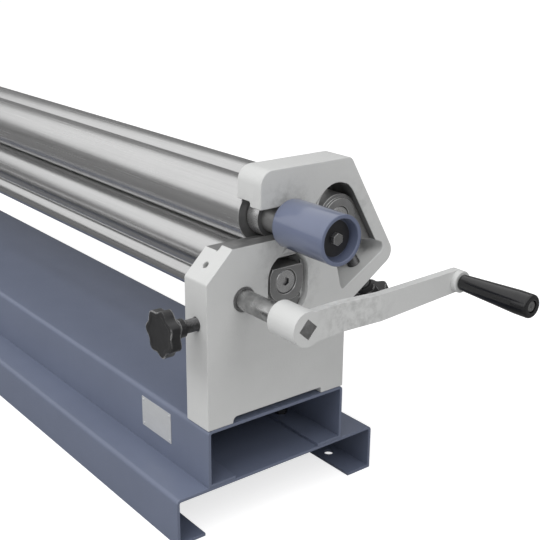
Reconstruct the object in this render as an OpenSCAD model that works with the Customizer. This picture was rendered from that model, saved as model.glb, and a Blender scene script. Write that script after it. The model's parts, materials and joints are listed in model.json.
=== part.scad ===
// Hand-cranked three-roll slip roll machine.
// X runs along the rolls, +Y to the rear and +Z up. The origin is the centre of the bolt
// pattern in the base, on the face that it stands on.
// Most pieces are placed in an end's own frame: x outward from the end frame's outer face,
// y rearward from its front face, z up from the top of the beam that it stands on.

/* [Rolls] */
// Diameter of the three rolls
roll_d = 75; // [66:1:82]
// Length of the lower and rear roll bodies
roll_len = 1300; // [600:10:1600]
// Gap between the upper and lower roll
nip = 1; // [0.6:0.1:2]
// Play between a roll body and an end frame
side_gap = 1.5; // [1:0.1:3]
// Diameter of the upper roll's right journal
journal_d = 38; // [32:1:42]
// Diameter of the upper roll's left journal
pivot_journal_d = 32; // [26:1:34]
// Diameter of the lower and rear roll journals
small_journal_d = 26; // [22:1:28]

/* [End frames] */
// Thickness of an end frame
frame_t = 45; // [42:1:55]
// Depth of the frame's foot, front to rear
frame_d = 212; // [205:1:240]
// Height of the upper roll's axis above the beam
upper_z = 238.4; // [236:0.1:244]
// Distance from the front face to the upper roll's axis
upper_y = 115.4; // [114:0.1:120]
// How far the lower roll's axis lies behind the upper one
lower_back = 2.4; // [0:0.1:4]
// Metal above the mouth that holds the upper roll
top_wall = 45.5; // [40:0.5:60]
// Size of the 45 degree chamfer on the front corner
chamfer = 36; // [28:1:40]
// Distance from the front face to the nose of the upper jaw
nose_y = 76; // [72:1:80]
// Height of the relief under the foot
foot_relief = 8; // [5:0.5:12]
// Depth, front to rear, of a foot pad
foot_pad = 37; // [32:1:45]

/* [Rear roll] */
// Distance from the front face to the rear roll's axis
rear_y = 203; // [200:0.5:209]
// Height of the rear roll's axis above the beam
rear_z = 226; // [220:0.5:228]
// Tilt of the rear adjusting slide from upright, in degrees
rear_tilt = 30.4; // [28:0.2:33]
// How far the rear roll can rise towards the upper roll
rear_up = 12; // [5:0.5:15]
// How far the rear roll can drop
rear_down = 18; // [10:1:18]
// Distance along the slide from the rear roll's axis to the frame's slanted underside
rear_reach = 101.7; // [100:0.1:110]
// Slope of that underside from level, in degrees
under_tilt = 33.4; // [31:0.2:36]
// Metal beside the rear slide, from its centre line to the frame's edge
rear_side = 49; // [47:0.5:54]

/* [Lower roll] */
// How far the lower roll can drop
lower_drop = 3; // [1:0.5:4]
// Width of a lower bearing block, front to rear
block_w = 50; // [46:1:52]
// Height of the lower block above the roll's axis
block_top = 18.8; // [18:0.2:22]
// Rise of the adjusting wedge for each millimetre of its length
wedge_slope = 0.4; // [0.3:0.05:0.45]

/* [Drive] */
// Distance from the front face to the drive shaft
drive_y = 53; // [51:0.5:55]
// Height of the drive shaft above the beam
drive_z = 155; // [154:0.5:158]
// Diameter of the drive shaft
drive_d = 25; // [22:0.5:26]
// Teeth on each roll gear
roll_teeth = 19; // [19:1:19]
// Teeth on the idler gear
idler_teeth = 12; // [12:1:12]
// Teeth on the drive pinion
pinion_teeth = 14; // [14:1:14]
// Width of a gear
gear_w = 17; // [14:0.5:18]

/* [Crank] */
// Distance from the drive shaft to the grip's axis
crank_r = 226; // [180:1:260]
// Thickness of the crank arm
arm_t = 11; // [8:0.5:14]
// Height of the arm at the hub
arm_h = 36; // [30:0.5:38]
// Outward step of the arm between its two bends
arm_step = 9; // [4:0.5:14]
// Tilt of the arm above level, in degrees
arm_tilt = 2.7; // [0:0.1:6]
// Outer diameter of the crank hub
hub_d = 41; // [40:0.5:46]
// Length of the grip
grip_len = 102; // [80:1:130]
// Largest diameter of the grip
grip_d = 28; // [24:0.5:32]

/* [Release sleeve] */
// Outer diameter of the sleeve
sleeve_d = 59.5; // [54:0.5:62]
// Length of the sleeve
sleeve_len = 89; // [80:1:92]
// How far the upper roll swings out, in degrees
swing_angle = 7; // [3:0.5:7]

/* [Knobs] */
// Diameter of a star knob over its lobes
knob_d = 58; // [50:1:60]
// Lobes on a star knob
knob_lobes = 7; // [5:1:9]
// Diameter of the adjusting studs
stud_d = 16; // [12:1:16]

/* [Base] */
// Height of the upper beam
beam_h = 76; // [60:1:100]
// Height of the lower base
lower_h = 63; // [50:1:90]
// Depth of the lower base, front to rear
base_d = 313; // [290:1:340]
// Width of the ledge in front of the beam
ledge = 46; // [36:1:56]
// Thickness of the sheet in the beam and the base
sheet = 4; // [3:0.5:5]
// Width of the flanges turned in at the foot of the beam and the base
flange_w = 40; // [30:1:50]
// Radius of the holes that bolt the base down
base_hole_r = 6.5; // [4.5:0.5:8]

/* [Hidden] */
$fn = 64;

// Clearances: a running fit, a fixed seat, a sliding face, and free space round a part
run_gap = 0.05;
seat_gap = 0.03;
slide_gap = 0.2;
free_gap = 0.5;
// Overrun of every cut past the face that it opens
over = 1;
// Steps in each rounded corner of an outline
arc_steps = 8;

// Places that follow from the driving sizes
end_x = roll_len / 2 + side_gap + frame_t;
beam_top = beam_h + lower_h;
frame_y = ledge - base_d / 2;
mid_x = -frame_t / 2;
roll_r = roll_d / 2;
journal_r = journal_d / 2;
pivot_r = pivot_journal_d / 2;
small_r = small_journal_d / 2;
drive_r = drive_d / 2;
gear_m = (roll_d + nip) / roll_teeth;
lower_y = upper_y + lower_back;
lower_z = upper_z - sqrt(pow(gear_m * roll_teeth, 2) - pow(lower_back, 2));
frame_h = upper_z + journal_r + top_wall;
jaw_z = upper_z - journal_r - 2 * run_gap;
front_h = jaw_z - chamfer;
rear_axis = [rear_y, rear_z];
slide_down = [sin(rear_tilt), -cos(rear_tilt)];
slide_side = [cos(rear_tilt), sin(rear_tilt)];
under_way = [cos(under_tilt), sin(under_tilt)];

// Bushes and the ring on the upper roll's right journal
bush_wall = 3;
shaft_bush_wall = 2.5;
ring_wall = 6;
ring_r = journal_r + ring_wall;
ring_depth = 24;
ring_gap = 3.5;

// Casting radii, and the pocket over the rear screw: its points are given to the side of the
// screw, then up the slide from the lip that the screw passes through, with a corner radius
nose_round = 18;
rear_round = 10;
tip_round = 17;
heel_round = 14;
window_corner = 3;
foot_round = 6;
window_depth = 10;
window_side = 5.5;
window_up = 37.6;
slot_round = 1;
rear_slot_top = 19.5;
rear_block_r = 30.3;
slot_half = rear_block_r + 2 * slide_gap;
lip_t = 21;
pocket_depth = 38;
pocket_points = [[slot_half, 20, 2], [37.4, 11, 2], [38.4, 0, 8], [-43.6, 0, 4], [-43.6, 6, 8],
    [-slot_half, 49, 5]];

// Blocks, wedges and studs
block_inset = 3.5;
block_inner = 3;
block_back_share = 0.52;
block_base = 28.4;
block_chamfer = 8;
block_corner = 5;
block_face = 24;
block_face_r = 18;
pocket_head = 9;
wedge_min = 6;
wedge_nose = 9.8;
wedge_half = 10.8;
stud_rise = 12;
stud_r = stud_d / 2;
neck_r = stud_r - 2.5;
button_r = stud_r;
button_t = 3.6;
button_seat = 3.6;
neck_len = 8;
rear_block_t = 30;
rear_block_inset = 10;
rear_block_base = 35;
rear_boss_r = 25.5;
rear_boss_t = 4;
rear_leg_rise = 19;
wedge_travel = lower_drop / wedge_slope;
block_front = lower_y - block_w * (1 - block_back_share);
block_rear = lower_y + block_w * block_back_share;
block_mid = (block_front + block_rear) / 2;
block_low_z = lower_z - block_base;
block_face_z = lower_z - block_face;
// Upper corners of a lower block, shared by its body and by its face in the rounded window
block_head = [[block_rear, lower_z + block_top, block_corner],
    [block_front + block_chamfer / 2, lower_z + block_top, 0],
    [block_front, lower_z + block_top - block_chamfer, 0]];
wedge_floor = block_low_z - wedge_slope * block_w / 2 - wedge_min;
wedge_front = block_front - wedge_nose;
stud_z = wedge_floor + stud_rise;

// End screws of the lower and rear rolls, and their hexagon sockets
head_r = 15;
head_t = 4;
head_bevel = 1.2;
fine_bevel = 1;
shank_r = 5;
shank_len = 25;
socket_r = 5.5;
socket_deep = 3;
recess_gap = 0.4;
recess_deep = 5.5;

// Left end: swivel block, claw coupling and gear train
swivel_half_y = 28;
swivel_half_z = 27.7;
swivel_half_x = 18;
swivel_play = swivel_half_x * sin(swing_angle) + over;
swivel_bore_wall = 3.5;
boss_r = 24;
pivot_end_gap = 5;
pin_r = 8;
pin_in_block = 7.5;
pin_in_jaw = 17;
claw_r = 23;
claw_inner_r = 12;
claw_disc_t = 7.5;
claw_len = 10;
claw_angle = 64;
claw_tip_gap = 3.7;
claw_seat_r = 11;
claw_start = -3;
plane_a = 28;
plane_step = 3.5;
plane_b = plane_a + gear_w + plane_step;
gears_end = plane_b + gear_w;
stub_r = 12;
stub_shoulder_r = 14;
lower_seat_r = 11;
pinion_seat_r = 10.5;
idler_pin_r = 9;
idler_wall = 3;
idler_hub_r = 14.5;
idler_grip = 26;
idler_head_r = 13;
idler_head_t = 3;
key_w = 6;
key_len = 14;
key_rise = 2.5;
clip_t = 1.2;
clip_wall = 3;
clip_from_end = 1.6;

// Tooth form: stub teeth with a little backlash
pressure = 25;
addendum_share = 0.8;
dedendum_share = 1.05;
backlash = 0.35;
flank_steps = 4;

// Gear cover
cover_clear = 4.5;
cover_wall = 5;
cover_roof = 6;
cover_inner = gears_end + 8;
cover_outer = cover_inner + cover_roof;
cover_boss_len = 14;
cover_boss_wall = 5;
cover_bush_wall = 4;
ear_r = 9;
ear_t = 10;
ear_out = 5;
cover_arc_steps = 12;
cover_angles = [228, -25, 53, 117];

// Fasteners
cap_r = 6.5;
cap_len = 8;
cap_shank_r = 4;
cap_socket_r = 3.4;
cap_deep = 15;
frame_bolt_r = 6;
frame_bolt_hex = 10.5;
frame_bolt_head = 7.5;
frame_bolt_up = 22;
base_bolt_r = 5;
base_bolt_hex = 9;
base_bolt_head = 6.4;
base_nut_t = 8;
base_bolt_tail = 3;
base_bolt_inset = 100;
flange_bolt_share = 0.55;
base_hole_inset = 60;
base_hole_edge = 22;
bend_r = 6;
bend_inner_r = 2;

// Collars, crank and grip
collar_wall = 7;
collar_t = 12;
hub_start = 69;
hub_round_bore = 6;
square_w = 17.6;
arm_out = 115;
bend_1 = 50;
bend_2 = 100;
bend_round = 30;
boss_end_r = 13.5;
boss_proud = 7;
grip_small_r = 9.75;
grip_round = 3;
grip_spindle_r = 5;
grip_recess_r = 7.5;
grip_recess = 6;
grip_head_r = 6.8;
grip_head_t = 4;
grip_nose = 2.5;
set_screw_r = 3;
set_screw_len = 11;
set_screw_sunk = 1;

// Sleeve
sleeve_start = 6;
sleeve_round = 4;
sleeve_journal_r = 15;
sleeve_recess = 15;
sleeve_wall = 5;
washer_r = 21;
washer_t = 3.5;
sleeve_hex = 7.5;
sleeve_head = 5.5;
sleeve_shank_r = 4;

// Knob form
knob_t = 13.5;
knob_hub_len = 18.5;
knob_hub_r = 12.5;
knob_root_r = 14;
knob_wave_share = 0.075;
knob_points = 112;
knob_back = 18;
knob_bore_deep = 18;
knob_room = 5.5;
rear_knob_gap = rear_up + knob_room;

// Blank plate on the beam's front web
plate_w = 68;
plate_h = 41;
plate_t = 0.8;
plate_in = 82;
plate_down = 10;

// Oil hole from the chamfer to the drive shaft's bush
oil_r = 4;
oil_x = -24.3;
oil_along_share = 0.43;

// Colours, named for the finishes
grey_paint = [0.76, 0.77, 0.76];
blue_paint = [0.42, 0.45, 0.53];
steel = [0.72, 0.73, 0.75];
dark_steel = [0.33, 0.33, 0.34];
bronze = [0.72, 0.56, 0.32];
black_plastic = [0.13, 0.13, 0.13];
plate_metal = [0.8, 0.81, 0.82];

// Outline helpers
function unit(v) = v / norm(v);
function flat(p) = [p[0], p[1]];
function bend_arc(a, b, c, r) =
    let (u = unit(a - b), v = unit(c - b), half = acos(u * v) / 2,
        o = b + unit(u + v) * r / sin(half),
        s = b + u * r / tan(half) - o, e = b + v * r / tan(half) - o,
        from = atan2(s[1], s[0]), turn = (atan2(e[1], e[0]) - from + 540) % 360 - 180)
    [for (i = [0 : arc_steps]) o + r * [cos(from + turn * i / arc_steps),
        sin(from + turn * i / arc_steps)]];
// Outline from points [y, z, corner radius]
function rounded(points) =
    let (n = len(points))
    [for (i = [0 : n - 1]) let (a = flat(points[(i + n - 1) % n]), b = flat(points[i]),
        c = flat(points[(i + 1) % n]))
        each (points[i][2] > 0 ? bend_arc(a, b, c, points[i][2]) : [b])];
function box_points(low, high, r) =
    [[low[0], low[1], r], [high[0], low[1], r], [high[0], high[1], r], [low[0], high[1], r]];
// A point given along the rear slide: n to its side, t down it from the rear roll's axis
function on_slide(n, t) = rear_axis + n * slide_side + t * slide_down;
function slide_point(n, t, r) = concat(on_slide(n, t), [r]);
// A point on a ray from a centre
function around(centre, r, angle) = centre + r * [cos(angle), sin(angle)];
function heading(a, b) = atan2(b[1] - a[1], b[0] - a[0]);

// Belt round circles [centre, radius], listed anticlockwise
function belt_normal(a, b) =
    heading(a[0], b[0]) - acos((a[1] - b[1]) / norm(b[0] - a[0]));
function belt(circles, steps) =
    let (n = len(circles))
    [for (i = [0 : n - 1]) let (c = circles[i],
        from = belt_normal(circles[(i + n - 1) % n], c),
        turn = (belt_normal(c, circles[(i + 1) % n]) - from + 720) % 360)
        for (k = [0 : steps]) around(c[0], c[1], from + turn * k / steps)];

// Gear geometry
function involute(angle) = tan(angle) * 180 / PI - angle;
function half_tooth(teeth, r) =
    let (pitch_r = gear_m * teeth / 2, base_r = pitch_r * cos(pressure))
    90 / teeth - backlash / pitch_r * 90 / PI + involute(pressure)
        - involute(acos(min(1, base_r / r)));
function gear_points(teeth, phase) =
    let (pitch_r = gear_m * teeth / 2, tip = pitch_r + addendum_share * gear_m,
        root = pitch_r - dedendum_share * gear_m, base_r = pitch_r * cos(pressure),
        low = max(root, base_r),
        radii = concat([root], [for (i = [0 : flank_steps]) low + (tip - low) * i / flank_steps]))
    [for (k = [0 : teeth - 1]) let (mid = phase + 360 * k / teeth)
        each concat(
            [for (r = radii) around([0, 0], r, mid - half_tooth(teeth, max(r, low)))],
            [for (i = [len(radii) - 1 : -1 : 0])
                around([0, 0], radii[i], mid + half_tooth(teeth, max(radii[i], low)))])];
// Angle of a tooth on gear b that leaves it in mesh with gear a
function mesh_phase(phase_a, centre_a, teeth_a, centre_b, teeth_b) =
    let (line = heading(centre_a, centre_b))
    line + 180 - (phase_a - line) * teeth_a / teeth_b + 180 / teeth_b;

// The gear train: drive pinion, idler, upper gear and lower gear
drive_axis = [drive_y, drive_z];
upper_axis = [upper_y, upper_z];
lower_axis = [lower_y, lower_z];
reach_up = gear_m * (idler_teeth + roll_teeth) / 2;
reach_down = gear_m * (idler_teeth + pinion_teeth) / 2;
train_span = norm(upper_axis - drive_axis);
train_share = (pow(reach_down, 2) - pow(reach_up, 2) + pow(train_span, 2)) / 2
    / pow(train_span, 2);
train_off = sqrt(pow(reach_down, 2) - pow(train_share * train_span, 2));
train_way = unit(upper_axis - drive_axis);
idler_axis = drive_axis + train_share * (upper_axis - drive_axis)
    + train_off * [-train_way[1], train_way[0]];
upper_phase = 0;
lower_phase = mesh_phase(upper_phase, upper_axis, roll_teeth, lower_axis, roll_teeth);
idler_phase = mesh_phase(upper_phase, upper_axis, roll_teeth, idler_axis, idler_teeth);
pinion_phase = mesh_phase(idler_phase, idler_axis, idler_teeth, drive_axis, pinion_teeth);

// Placing
module at_machine() { translate([0, frame_y, beam_top]) children(); }
module at_right() { translate([end_x, frame_y, beam_top]) children(); }
module at_left() { mirror([1, 0, 0]) at_right() children(); }
module at_both() { at_right() children(); at_left() children(); }
// A (y, z) outline drawn as a slab from x0 to x1
module slab(x0, x1) {
    translate([x0, 0, 0]) rotate([90, 0, 90]) linear_extrude(x1 - x0) children();
}
// A round bar along x about an axis [y, z]
module bar(axis, r, x0, x1) {
    translate([x0, axis[0], axis[1]]) rotate([0, 90, 0]) cylinder(r = r, h = x1 - x0);
}
// The same bar with bevelled edges at its outer end
module bevelled_bar(axis, r, x0, x1, bevel) {
    translate([x0, axis[0], axis[1]]) rotate([0, 90, 0])
        rotate_extrude() polygon([[0, 0], [r, 0], [r, x1 - x0 - bevel],
            [r - bevel, x1 - x0], [0, x1 - x0]]);
}
module tube(axis, r_in, r_out, x0, x1) {
    difference() {
        bar(axis, r_out, x0, x1);
        bar(axis, r_in, x0 - over, x1 + over);
    }
}
// A hexagonal prism along x, given across its corners' radius
module hex_bar(axis, r, x0, x1) {
    translate([x0, axis[0], axis[1]]) rotate([0, 90, 0]) cylinder(r = r, h = x1 - x0, $fn = 6);
}
// Frame of a front stud, with +z along the stud away from the frame
module front_way() {
    translate([mid_x, 0, stud_z]) rotate([90, 0, 0]) children();
}
// Frame of a rear stud, with +z down the slide from the rear roll's axis
module rear_way() {
    translate([mid_x, rear_y, rear_z]) rotate([180 + rear_tilt, 0, 0]) children();
}

// Base
module channel(depth, height) {
    polygon(rounded([[0, 0, 0], [0, height, bend_r], [depth, height, bend_r], [depth, 0, 0],
        [depth - flange_w, 0, 0], [depth - flange_w, sheet, 0], [depth - sheet, sheet, 0],
        [depth - sheet, height - sheet, bend_inner_r], [sheet, height - sheet, bend_inner_r],
        [sheet, sheet, 0], [flange_w, sheet, 0], [flange_w, 0, 0]]));
}
module flange_bolt_places() {
    for (x = [-end_x + base_bolt_inset, 0, end_x - base_bolt_inset])
        for (y = [flange_w * flange_bolt_share, frame_d - flange_w * flange_bolt_share])
            translate([x, y, -beam_h]) children();
}
module lower_base() {
    color(blue_paint) at_machine() difference() {
        translate([0, -ledge, -beam_top]) slab(-end_x, end_x) channel(base_d, lower_h);
        for (x = [-1, 1], y = [base_hole_edge, base_d - base_hole_edge])
            translate([x * (end_x - base_hole_inset), y - ledge, -beam_top - over])
                cylinder(r = base_hole_r, h = sheet + 2 * over);
        flange_bolt_places() translate([0, 0, -sheet - over])
            cylinder(r = base_bolt_r + free_gap, h = sheet + 2 * over);
    }
}
module frame_bolt_places() {
    for (y = [foot_pad / 2, frame_d - foot_pad / 2]) translate([mid_x, y, 0]) children();
}
module base_beam() {
    color(blue_paint) difference() {
        at_machine() difference() {
            translate([0, 0, -beam_h]) slab(-end_x, end_x) channel(frame_d, beam_h);
            flange_bolt_places() translate([0, 0, -over])
                cylinder(r = base_bolt_r + free_gap, h = sheet + 2 * over);
        }
        at_both() frame_bolt_places() translate([0, 0, -sheet - over])
            cylinder(r = frame_bolt_r + free_gap, h = sheet + 2 * over);
    }
}
module frame_bolts() {
    color(dark_steel) at_both() frame_bolt_places() {
        translate([0, 0, -sheet - frame_bolt_head])
            cylinder(r = frame_bolt_hex, h = frame_bolt_head, $fn = 6);
        translate([0, 0, -sheet]) cylinder(r = frame_bolt_r, h = sheet + frame_bolt_up);
    }
}
module base_bolts() {
    color(dark_steel) at_machine() flange_bolt_places() {
        translate([0, 0, sheet]) cylinder(r = base_bolt_hex, h = base_bolt_head, $fn = 6);
        translate([0, 0, -sheet - base_nut_t - base_bolt_tail])
            cylinder(r = base_bolt_r, h = 2 * sheet + base_nut_t + base_bolt_tail);
    }
}
module base_nuts() {
    color(dark_steel) at_machine() flange_bolt_places()
        translate([0, 0, -sheet - base_nut_t]) difference() {
            cylinder(r = base_bolt_hex, h = base_nut_t, $fn = 6);
            translate([0, 0, -over]) cylinder(r = base_bolt_r + seat_gap, h = base_nut_t + 2 * over);
        }
}
module blank_plate() {
    color(plate_metal) at_right() translate([-plate_in - plate_w, -plate_t, -plate_down - plate_h])
        cube([plate_w, plate_t, plate_h]);
}

// End frames
module frame_outline() {
    top_t = (rear_z + rear_side * slide_side[1] - frame_h) / -slide_down[1];
    under = on_slide(0, rear_reach);
    heel = under + (frame_d - under[0]) / under_way[0] * under_way;
    tip = under + rear_side / cos(under_tilt - rear_tilt) * under_way;
    polygon(rounded([[0, 0, 0], [frame_d, 0, 0], concat(heel, [heel_round]),
        concat(tip, [tip_round]), slide_point(rear_side, top_t, rear_round),
        [nose_y, frame_h, nose_round],
        [nose_y, upper_z, 0], [chamfer, upper_z, 0], [chamfer, jaw_z, 0], [0, front_h, 0]]));
}
module rear_slot_outline() {
    top = -rear_slot_top - slot_half;
    polygon(rounded([slide_point(slot_half, rear_reach - lip_t, slot_round),
        slide_point(slot_half, top, slot_half - slide_gap),
        slide_point(-slot_half, top, slot_half - slide_gap),
        slide_point(-slot_half, rear_reach - lip_t, slot_round)]));
}
module rear_pocket_outline() {
    polygon(rounded([for (p = pocket_points)
        slide_point(p[0], rear_reach - lip_t - p[1], p[2])]));
}
module mouth(half, x0, x1) {
    bar(upper_axis, half, x0, x1);
    slab(x0, x1) polygon([[-over, upper_z - half], [upper_y, upper_z - half],
        [upper_y, upper_z + half], [-over, upper_z + half]]);
}
module frame_casting() {
    window_half = block_w / 2 + window_side;
    difference() {
        slab(-frame_t, 0) frame_outline();
        // Relief between the two foot pads
        slab(-frame_t - over, over) polygon(rounded([[foot_pad, -over, 0],
            [frame_d - foot_pad, -over, 0], [frame_d - foot_pad, foot_relief, foot_round / 2],
            [foot_pad, foot_relief, foot_round]]));
        // Guide pocket of the lower block, and the rounded window outside it
        slab(-frame_t - over, -window_depth) polygon([
            [block_front - slide_gap, wedge_floor - slide_gap],
            [block_rear + slide_gap, wedge_floor - slide_gap],
            [block_rear + slide_gap, lower_z + block_top + pocket_head],
            [block_front - slide_gap, lower_z + block_top + pocket_head]]);
        slab(-window_depth - over, over) polygon(rounded(box_points(
            [block_mid - window_half, wedge_floor - slide_gap],
            [block_mid + window_half, lower_z + window_up], window_half - slide_gap)));
        // Channel for the wedge's front end
        translate([mid_x - wedge_half - slide_gap, wedge_front - wedge_travel - over,
            wedge_floor - slide_gap])
            cube([2 * (wedge_half + slide_gap), wedge_nose + wedge_travel + 2 * over,
                wedge_min + wedge_slope * (block_w + wedge_nose) + wedge_slope * over + over]);
        front_way() translate([0, 0, -wedge_front + wedge_travel])
            cylinder(r = stud_r + run_gap, h = wedge_front - wedge_travel + over);
        // Bore of the drive shaft's bush, and its oil hole
        bar(drive_axis, drive_r + run_gap + shaft_bush_wall + seat_gap, -frame_t - over, over);
        oil_way();
        // Slide of the rear block, the pocket round its screw, and the screw's bore
        slab(-frame_t - over, over) rear_slot_outline();
        slab(-pocket_depth, over) rear_pocket_outline();
        rear_way() cylinder(r = stud_r + run_gap, h = rear_reach + 2 * over);
        frame_bolt_places() translate([0, 0, -over])
            cylinder(r = frame_bolt_r + run_gap, h = frame_bolt_up + 2 * over);
        children();
    }
}
module oil_way() {
    start = [chamfer * oil_along_share, front_h + chamfer * oil_along_share];
    depth = norm(drive_axis - start);
    translate([oil_x, start[0], start[1]]) rotate([-135, 0, 0])
        translate([0, 0, -over]) cylinder(r = oil_r, h = depth - drive_r + over);
}
module right_frame() {
    color(grey_paint) at_right() frame_casting() {
        mouth(journal_r + 2 * run_gap, -frame_t - over, over);
        mouth(ring_r + 2 * run_gap, -frame_t - over, -frame_t + ring_depth);
    }
}
module left_frame() {
    color(grey_paint) at_left() frame_casting() {
        // Window of the swivel block, and the flat in front of it
        slab(-frame_t - over, over) polygon(rounded(box_points(
            upper_axis - [swivel_half_y + swivel_play, swivel_half_z + slide_gap],
            upper_axis + [swivel_half_y + swivel_play, swivel_half_z + slide_gap], window_corner)));
        slab(-frame_t - over, over) polygon([[-over, jaw_z], [nose_y, jaw_z],
            [nose_y, upper_z + over], [-over, upper_z + over]]);
        pivot_pin_places(run_gap, over);
        bar(idler_axis, idler_pin_r + seat_gap, -idler_grip - over, over);
        for (p = cover_screw_places) bar(p, cap_shank_r + run_gap, -cap_deep - over, over);
    }
}
module shaft_bushes() {
    color(steel) at_both() difference() {
        bar(drive_axis, drive_r + run_gap + shaft_bush_wall, -frame_t, 0);
        bar(drive_axis, drive_r + run_gap, -frame_t - over, over);
    }
}

// Pins, block and bushes that let the upper roll swing
module pivot_pin_places(gap, extra) {
    low = upper_z - swivel_half_z - pin_in_jaw;
    translate([mid_x, upper_y, low]) cylinder(r = pin_r + gap, h = pin_in_jaw + pin_in_block);
    translate([mid_x, upper_y, upper_z + swivel_half_z - pin_in_block])
        cylinder(r = pin_r + gap, h = frame_h - upper_z - swivel_half_z + pin_in_block + extra);
}
module pivot_pins() { color(dark_steel) at_left() pivot_pin_places(0, 0); }
module swivel_block() {
    color(dark_steel) at_left() difference() {
        union() {
            slab(mid_x - swivel_half_x, mid_x + swivel_half_x) polygon(rounded(box_points(
                [upper_y - swivel_half_y, upper_z - swivel_half_z],
                [upper_y + swivel_half_y, upper_z + swivel_half_z], rear_round / 2)));
            bar(upper_axis, boss_r, -frame_t - side_gap - pivot_end_gap + free_gap, mid_x);
        }
        bar(upper_axis, pivot_r + run_gap + swivel_bore_wall + seat_gap, -frame_t - over
            - side_gap - pivot_end_gap, over);
        pivot_pin_places(run_gap, over);
    }
}
module swivel_bush() {
    color(bronze) at_left() tube(upper_axis, pivot_r + run_gap, pivot_r + run_gap
        + swivel_bore_wall, -frame_t - side_gap - pivot_end_gap + free_gap, mid_x + swivel_half_x);
}
module end_bush() {
    color(steel) at_right() tube(upper_axis, journal_r + run_gap, ring_r, -frame_t,
        -frame_t + ring_depth - ring_gap);
}

// Upper roll with its claw and release sleeve
module roll_body(axis, x0, x1) {
    translate([x0, axis[0], axis[1]]) rotate([0, 90, 0]) rotate_extrude()
        polygon([[0, 0], [roll_r - fine_bevel, 0], [roll_r, fine_bevel],
            [roll_r, x1 - x0 - fine_bevel], [roll_r - fine_bevel, x1 - x0], [0, x1 - x0]]);
}
module upper_roll() {
    end_in = end_x - frame_t - side_gap;
    color(steel) at_machine() difference() {
        union() {
            roll_body(upper_axis, -end_in + pivot_end_gap, end_in);
            bar(upper_axis, journal_r, end_in, end_x + sleeve_start);
            bar(upper_axis, sleeve_journal_r, end_in, end_x + sleeve_start + sleeve_len
                - sleeve_recess + free_gap);
            bar(upper_axis, pivot_r, -end_x - claw_start, -end_in + pivot_end_gap);
            bar(upper_axis, claw_seat_r, -end_x - claw_start - claw_disc_t, -end_in);
        }
        bar(upper_axis, sleeve_shank_r + seat_gap, end_x + sleeve_start + sleeve_len
            - sleeve_recess - shank_len - over, end_x + sleeve_start + sleeve_len);
    }
}
module claws(x0, x1, turn) {
    for (a = [turn, turn + 180]) translate([0, upper_y, upper_z]) slab(x0, x1)
        polygon(concat(
            [for (i = [0 : arc_steps])
                around([0, 0], claw_r - free_gap, a + claw_angle * (i / arc_steps - 1 / 2))],
            [for (i = [arc_steps : -1 : 0])
                around([0, 0], claw_inner_r, a + claw_angle * (i / arc_steps - 1 / 2))]));
}
module roll_claw() {
    color(dark_steel) at_left() {
        tube(upper_axis, claw_seat_r + seat_gap, claw_r, claw_start, claw_start + claw_disc_t);
        claws(claw_start + claw_disc_t - over, claw_start + claw_disc_t + claw_len, 0);
    }
}
module release_sleeve() {
    inner = sleeve_d / 2 - sleeve_wall;
    floor_x = sleeve_len - sleeve_recess;
    color(blue_paint) at_right() translate([sleeve_start, upper_y, upper_z]) rotate([0, 90, 0])
        rotate_extrude() polygon(rounded([[sleeve_journal_r + run_gap, free_gap, 0],
            [sleeve_d / 2, free_gap, sleeve_round], [sleeve_d / 2, sleeve_len, sleeve_round / 3],
            [inner, sleeve_len, sleeve_round / 3], [inner, floor_x, sleeve_round / 3],
            [sleeve_journal_r + run_gap, floor_x, 0]]));
}
module sleeve_washer() {
    x0 = sleeve_start + sleeve_len - sleeve_recess + free_gap;
    color(dark_steel) at_right()
        tube(upper_axis, sleeve_shank_r + seat_gap, washer_r, x0, x0 + washer_t);
}
module sleeve_bolt() {
    x0 = sleeve_start + sleeve_len - sleeve_recess + free_gap + washer_t;
    color(dark_steel) at_right() {
        hex_bar(upper_axis, sleeve_hex, x0, x0 + sleeve_head);
        bar(upper_axis, sleeve_shank_r, x0 - shank_len, x0);
    }
}

// Gear train
module gear(axis, teeth, phase, x0, x1) {
    translate([0, axis[0], axis[1]]) slab(x0, x1) polygon(gear_points(teeth, phase));
}
module key_block(axis, seat_r, x0, gap) {
    translate([x0 - gap, axis[0] - key_w / 2 - gap, axis[1] + seat_r - key_rise - gap])
        cube([key_len + 2 * gap, key_w + 2 * gap, 2 * (key_rise + gap)]);
}
// A keyway right through a gear
module keyway(axis, seat_r, x0, x1) {
    translate([x0 - over, axis[0] - key_w / 2 - seat_gap, axis[1]])
        cube([x1 - x0 + 2 * over, key_w + 2 * seat_gap, seat_r + key_rise + seat_gap]);
}
module drive_pinion() {
    color(dark_steel) at_left() difference() {
        gear(drive_axis, pinion_teeth, pinion_phase, plane_a, plane_a + gear_w);
        bar(drive_axis, pinion_seat_r + seat_gap, plane_a - over, plane_a + gear_w + over);
        keyway(drive_axis, pinion_seat_r, plane_a, plane_a + gear_w);
    }
}
module pinion_key() {
    color(steel) at_left() key_block(drive_axis, pinion_seat_r, plane_a + over, 0);
}
module pinion_clip() {
    x0 = plane_a + gear_w + free_gap;
    color(steel) at_left() tube(drive_axis, pinion_seat_r - clip_wall / 2, pinion_seat_r
        + clip_wall / 2, x0, x0 + clip_t);
}
module idler_gear() {
    color(dark_steel) at_left() difference() {
        union() {
            gear(idler_axis, idler_teeth, idler_phase, plane_a, plane_a + gear_w);
            bar(idler_axis, idler_hub_r, free_gap, plane_a);
        }
        bar(idler_axis, idler_pin_r + run_gap + idler_wall + seat_gap, -over,
            plane_a + gear_w + over);
    }
}
module idler_bush() {
    color(bronze) at_left() tube(idler_axis, idler_pin_r + run_gap,
        idler_pin_r + run_gap + idler_wall, free_gap, plane_a + gear_w);
}
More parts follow.
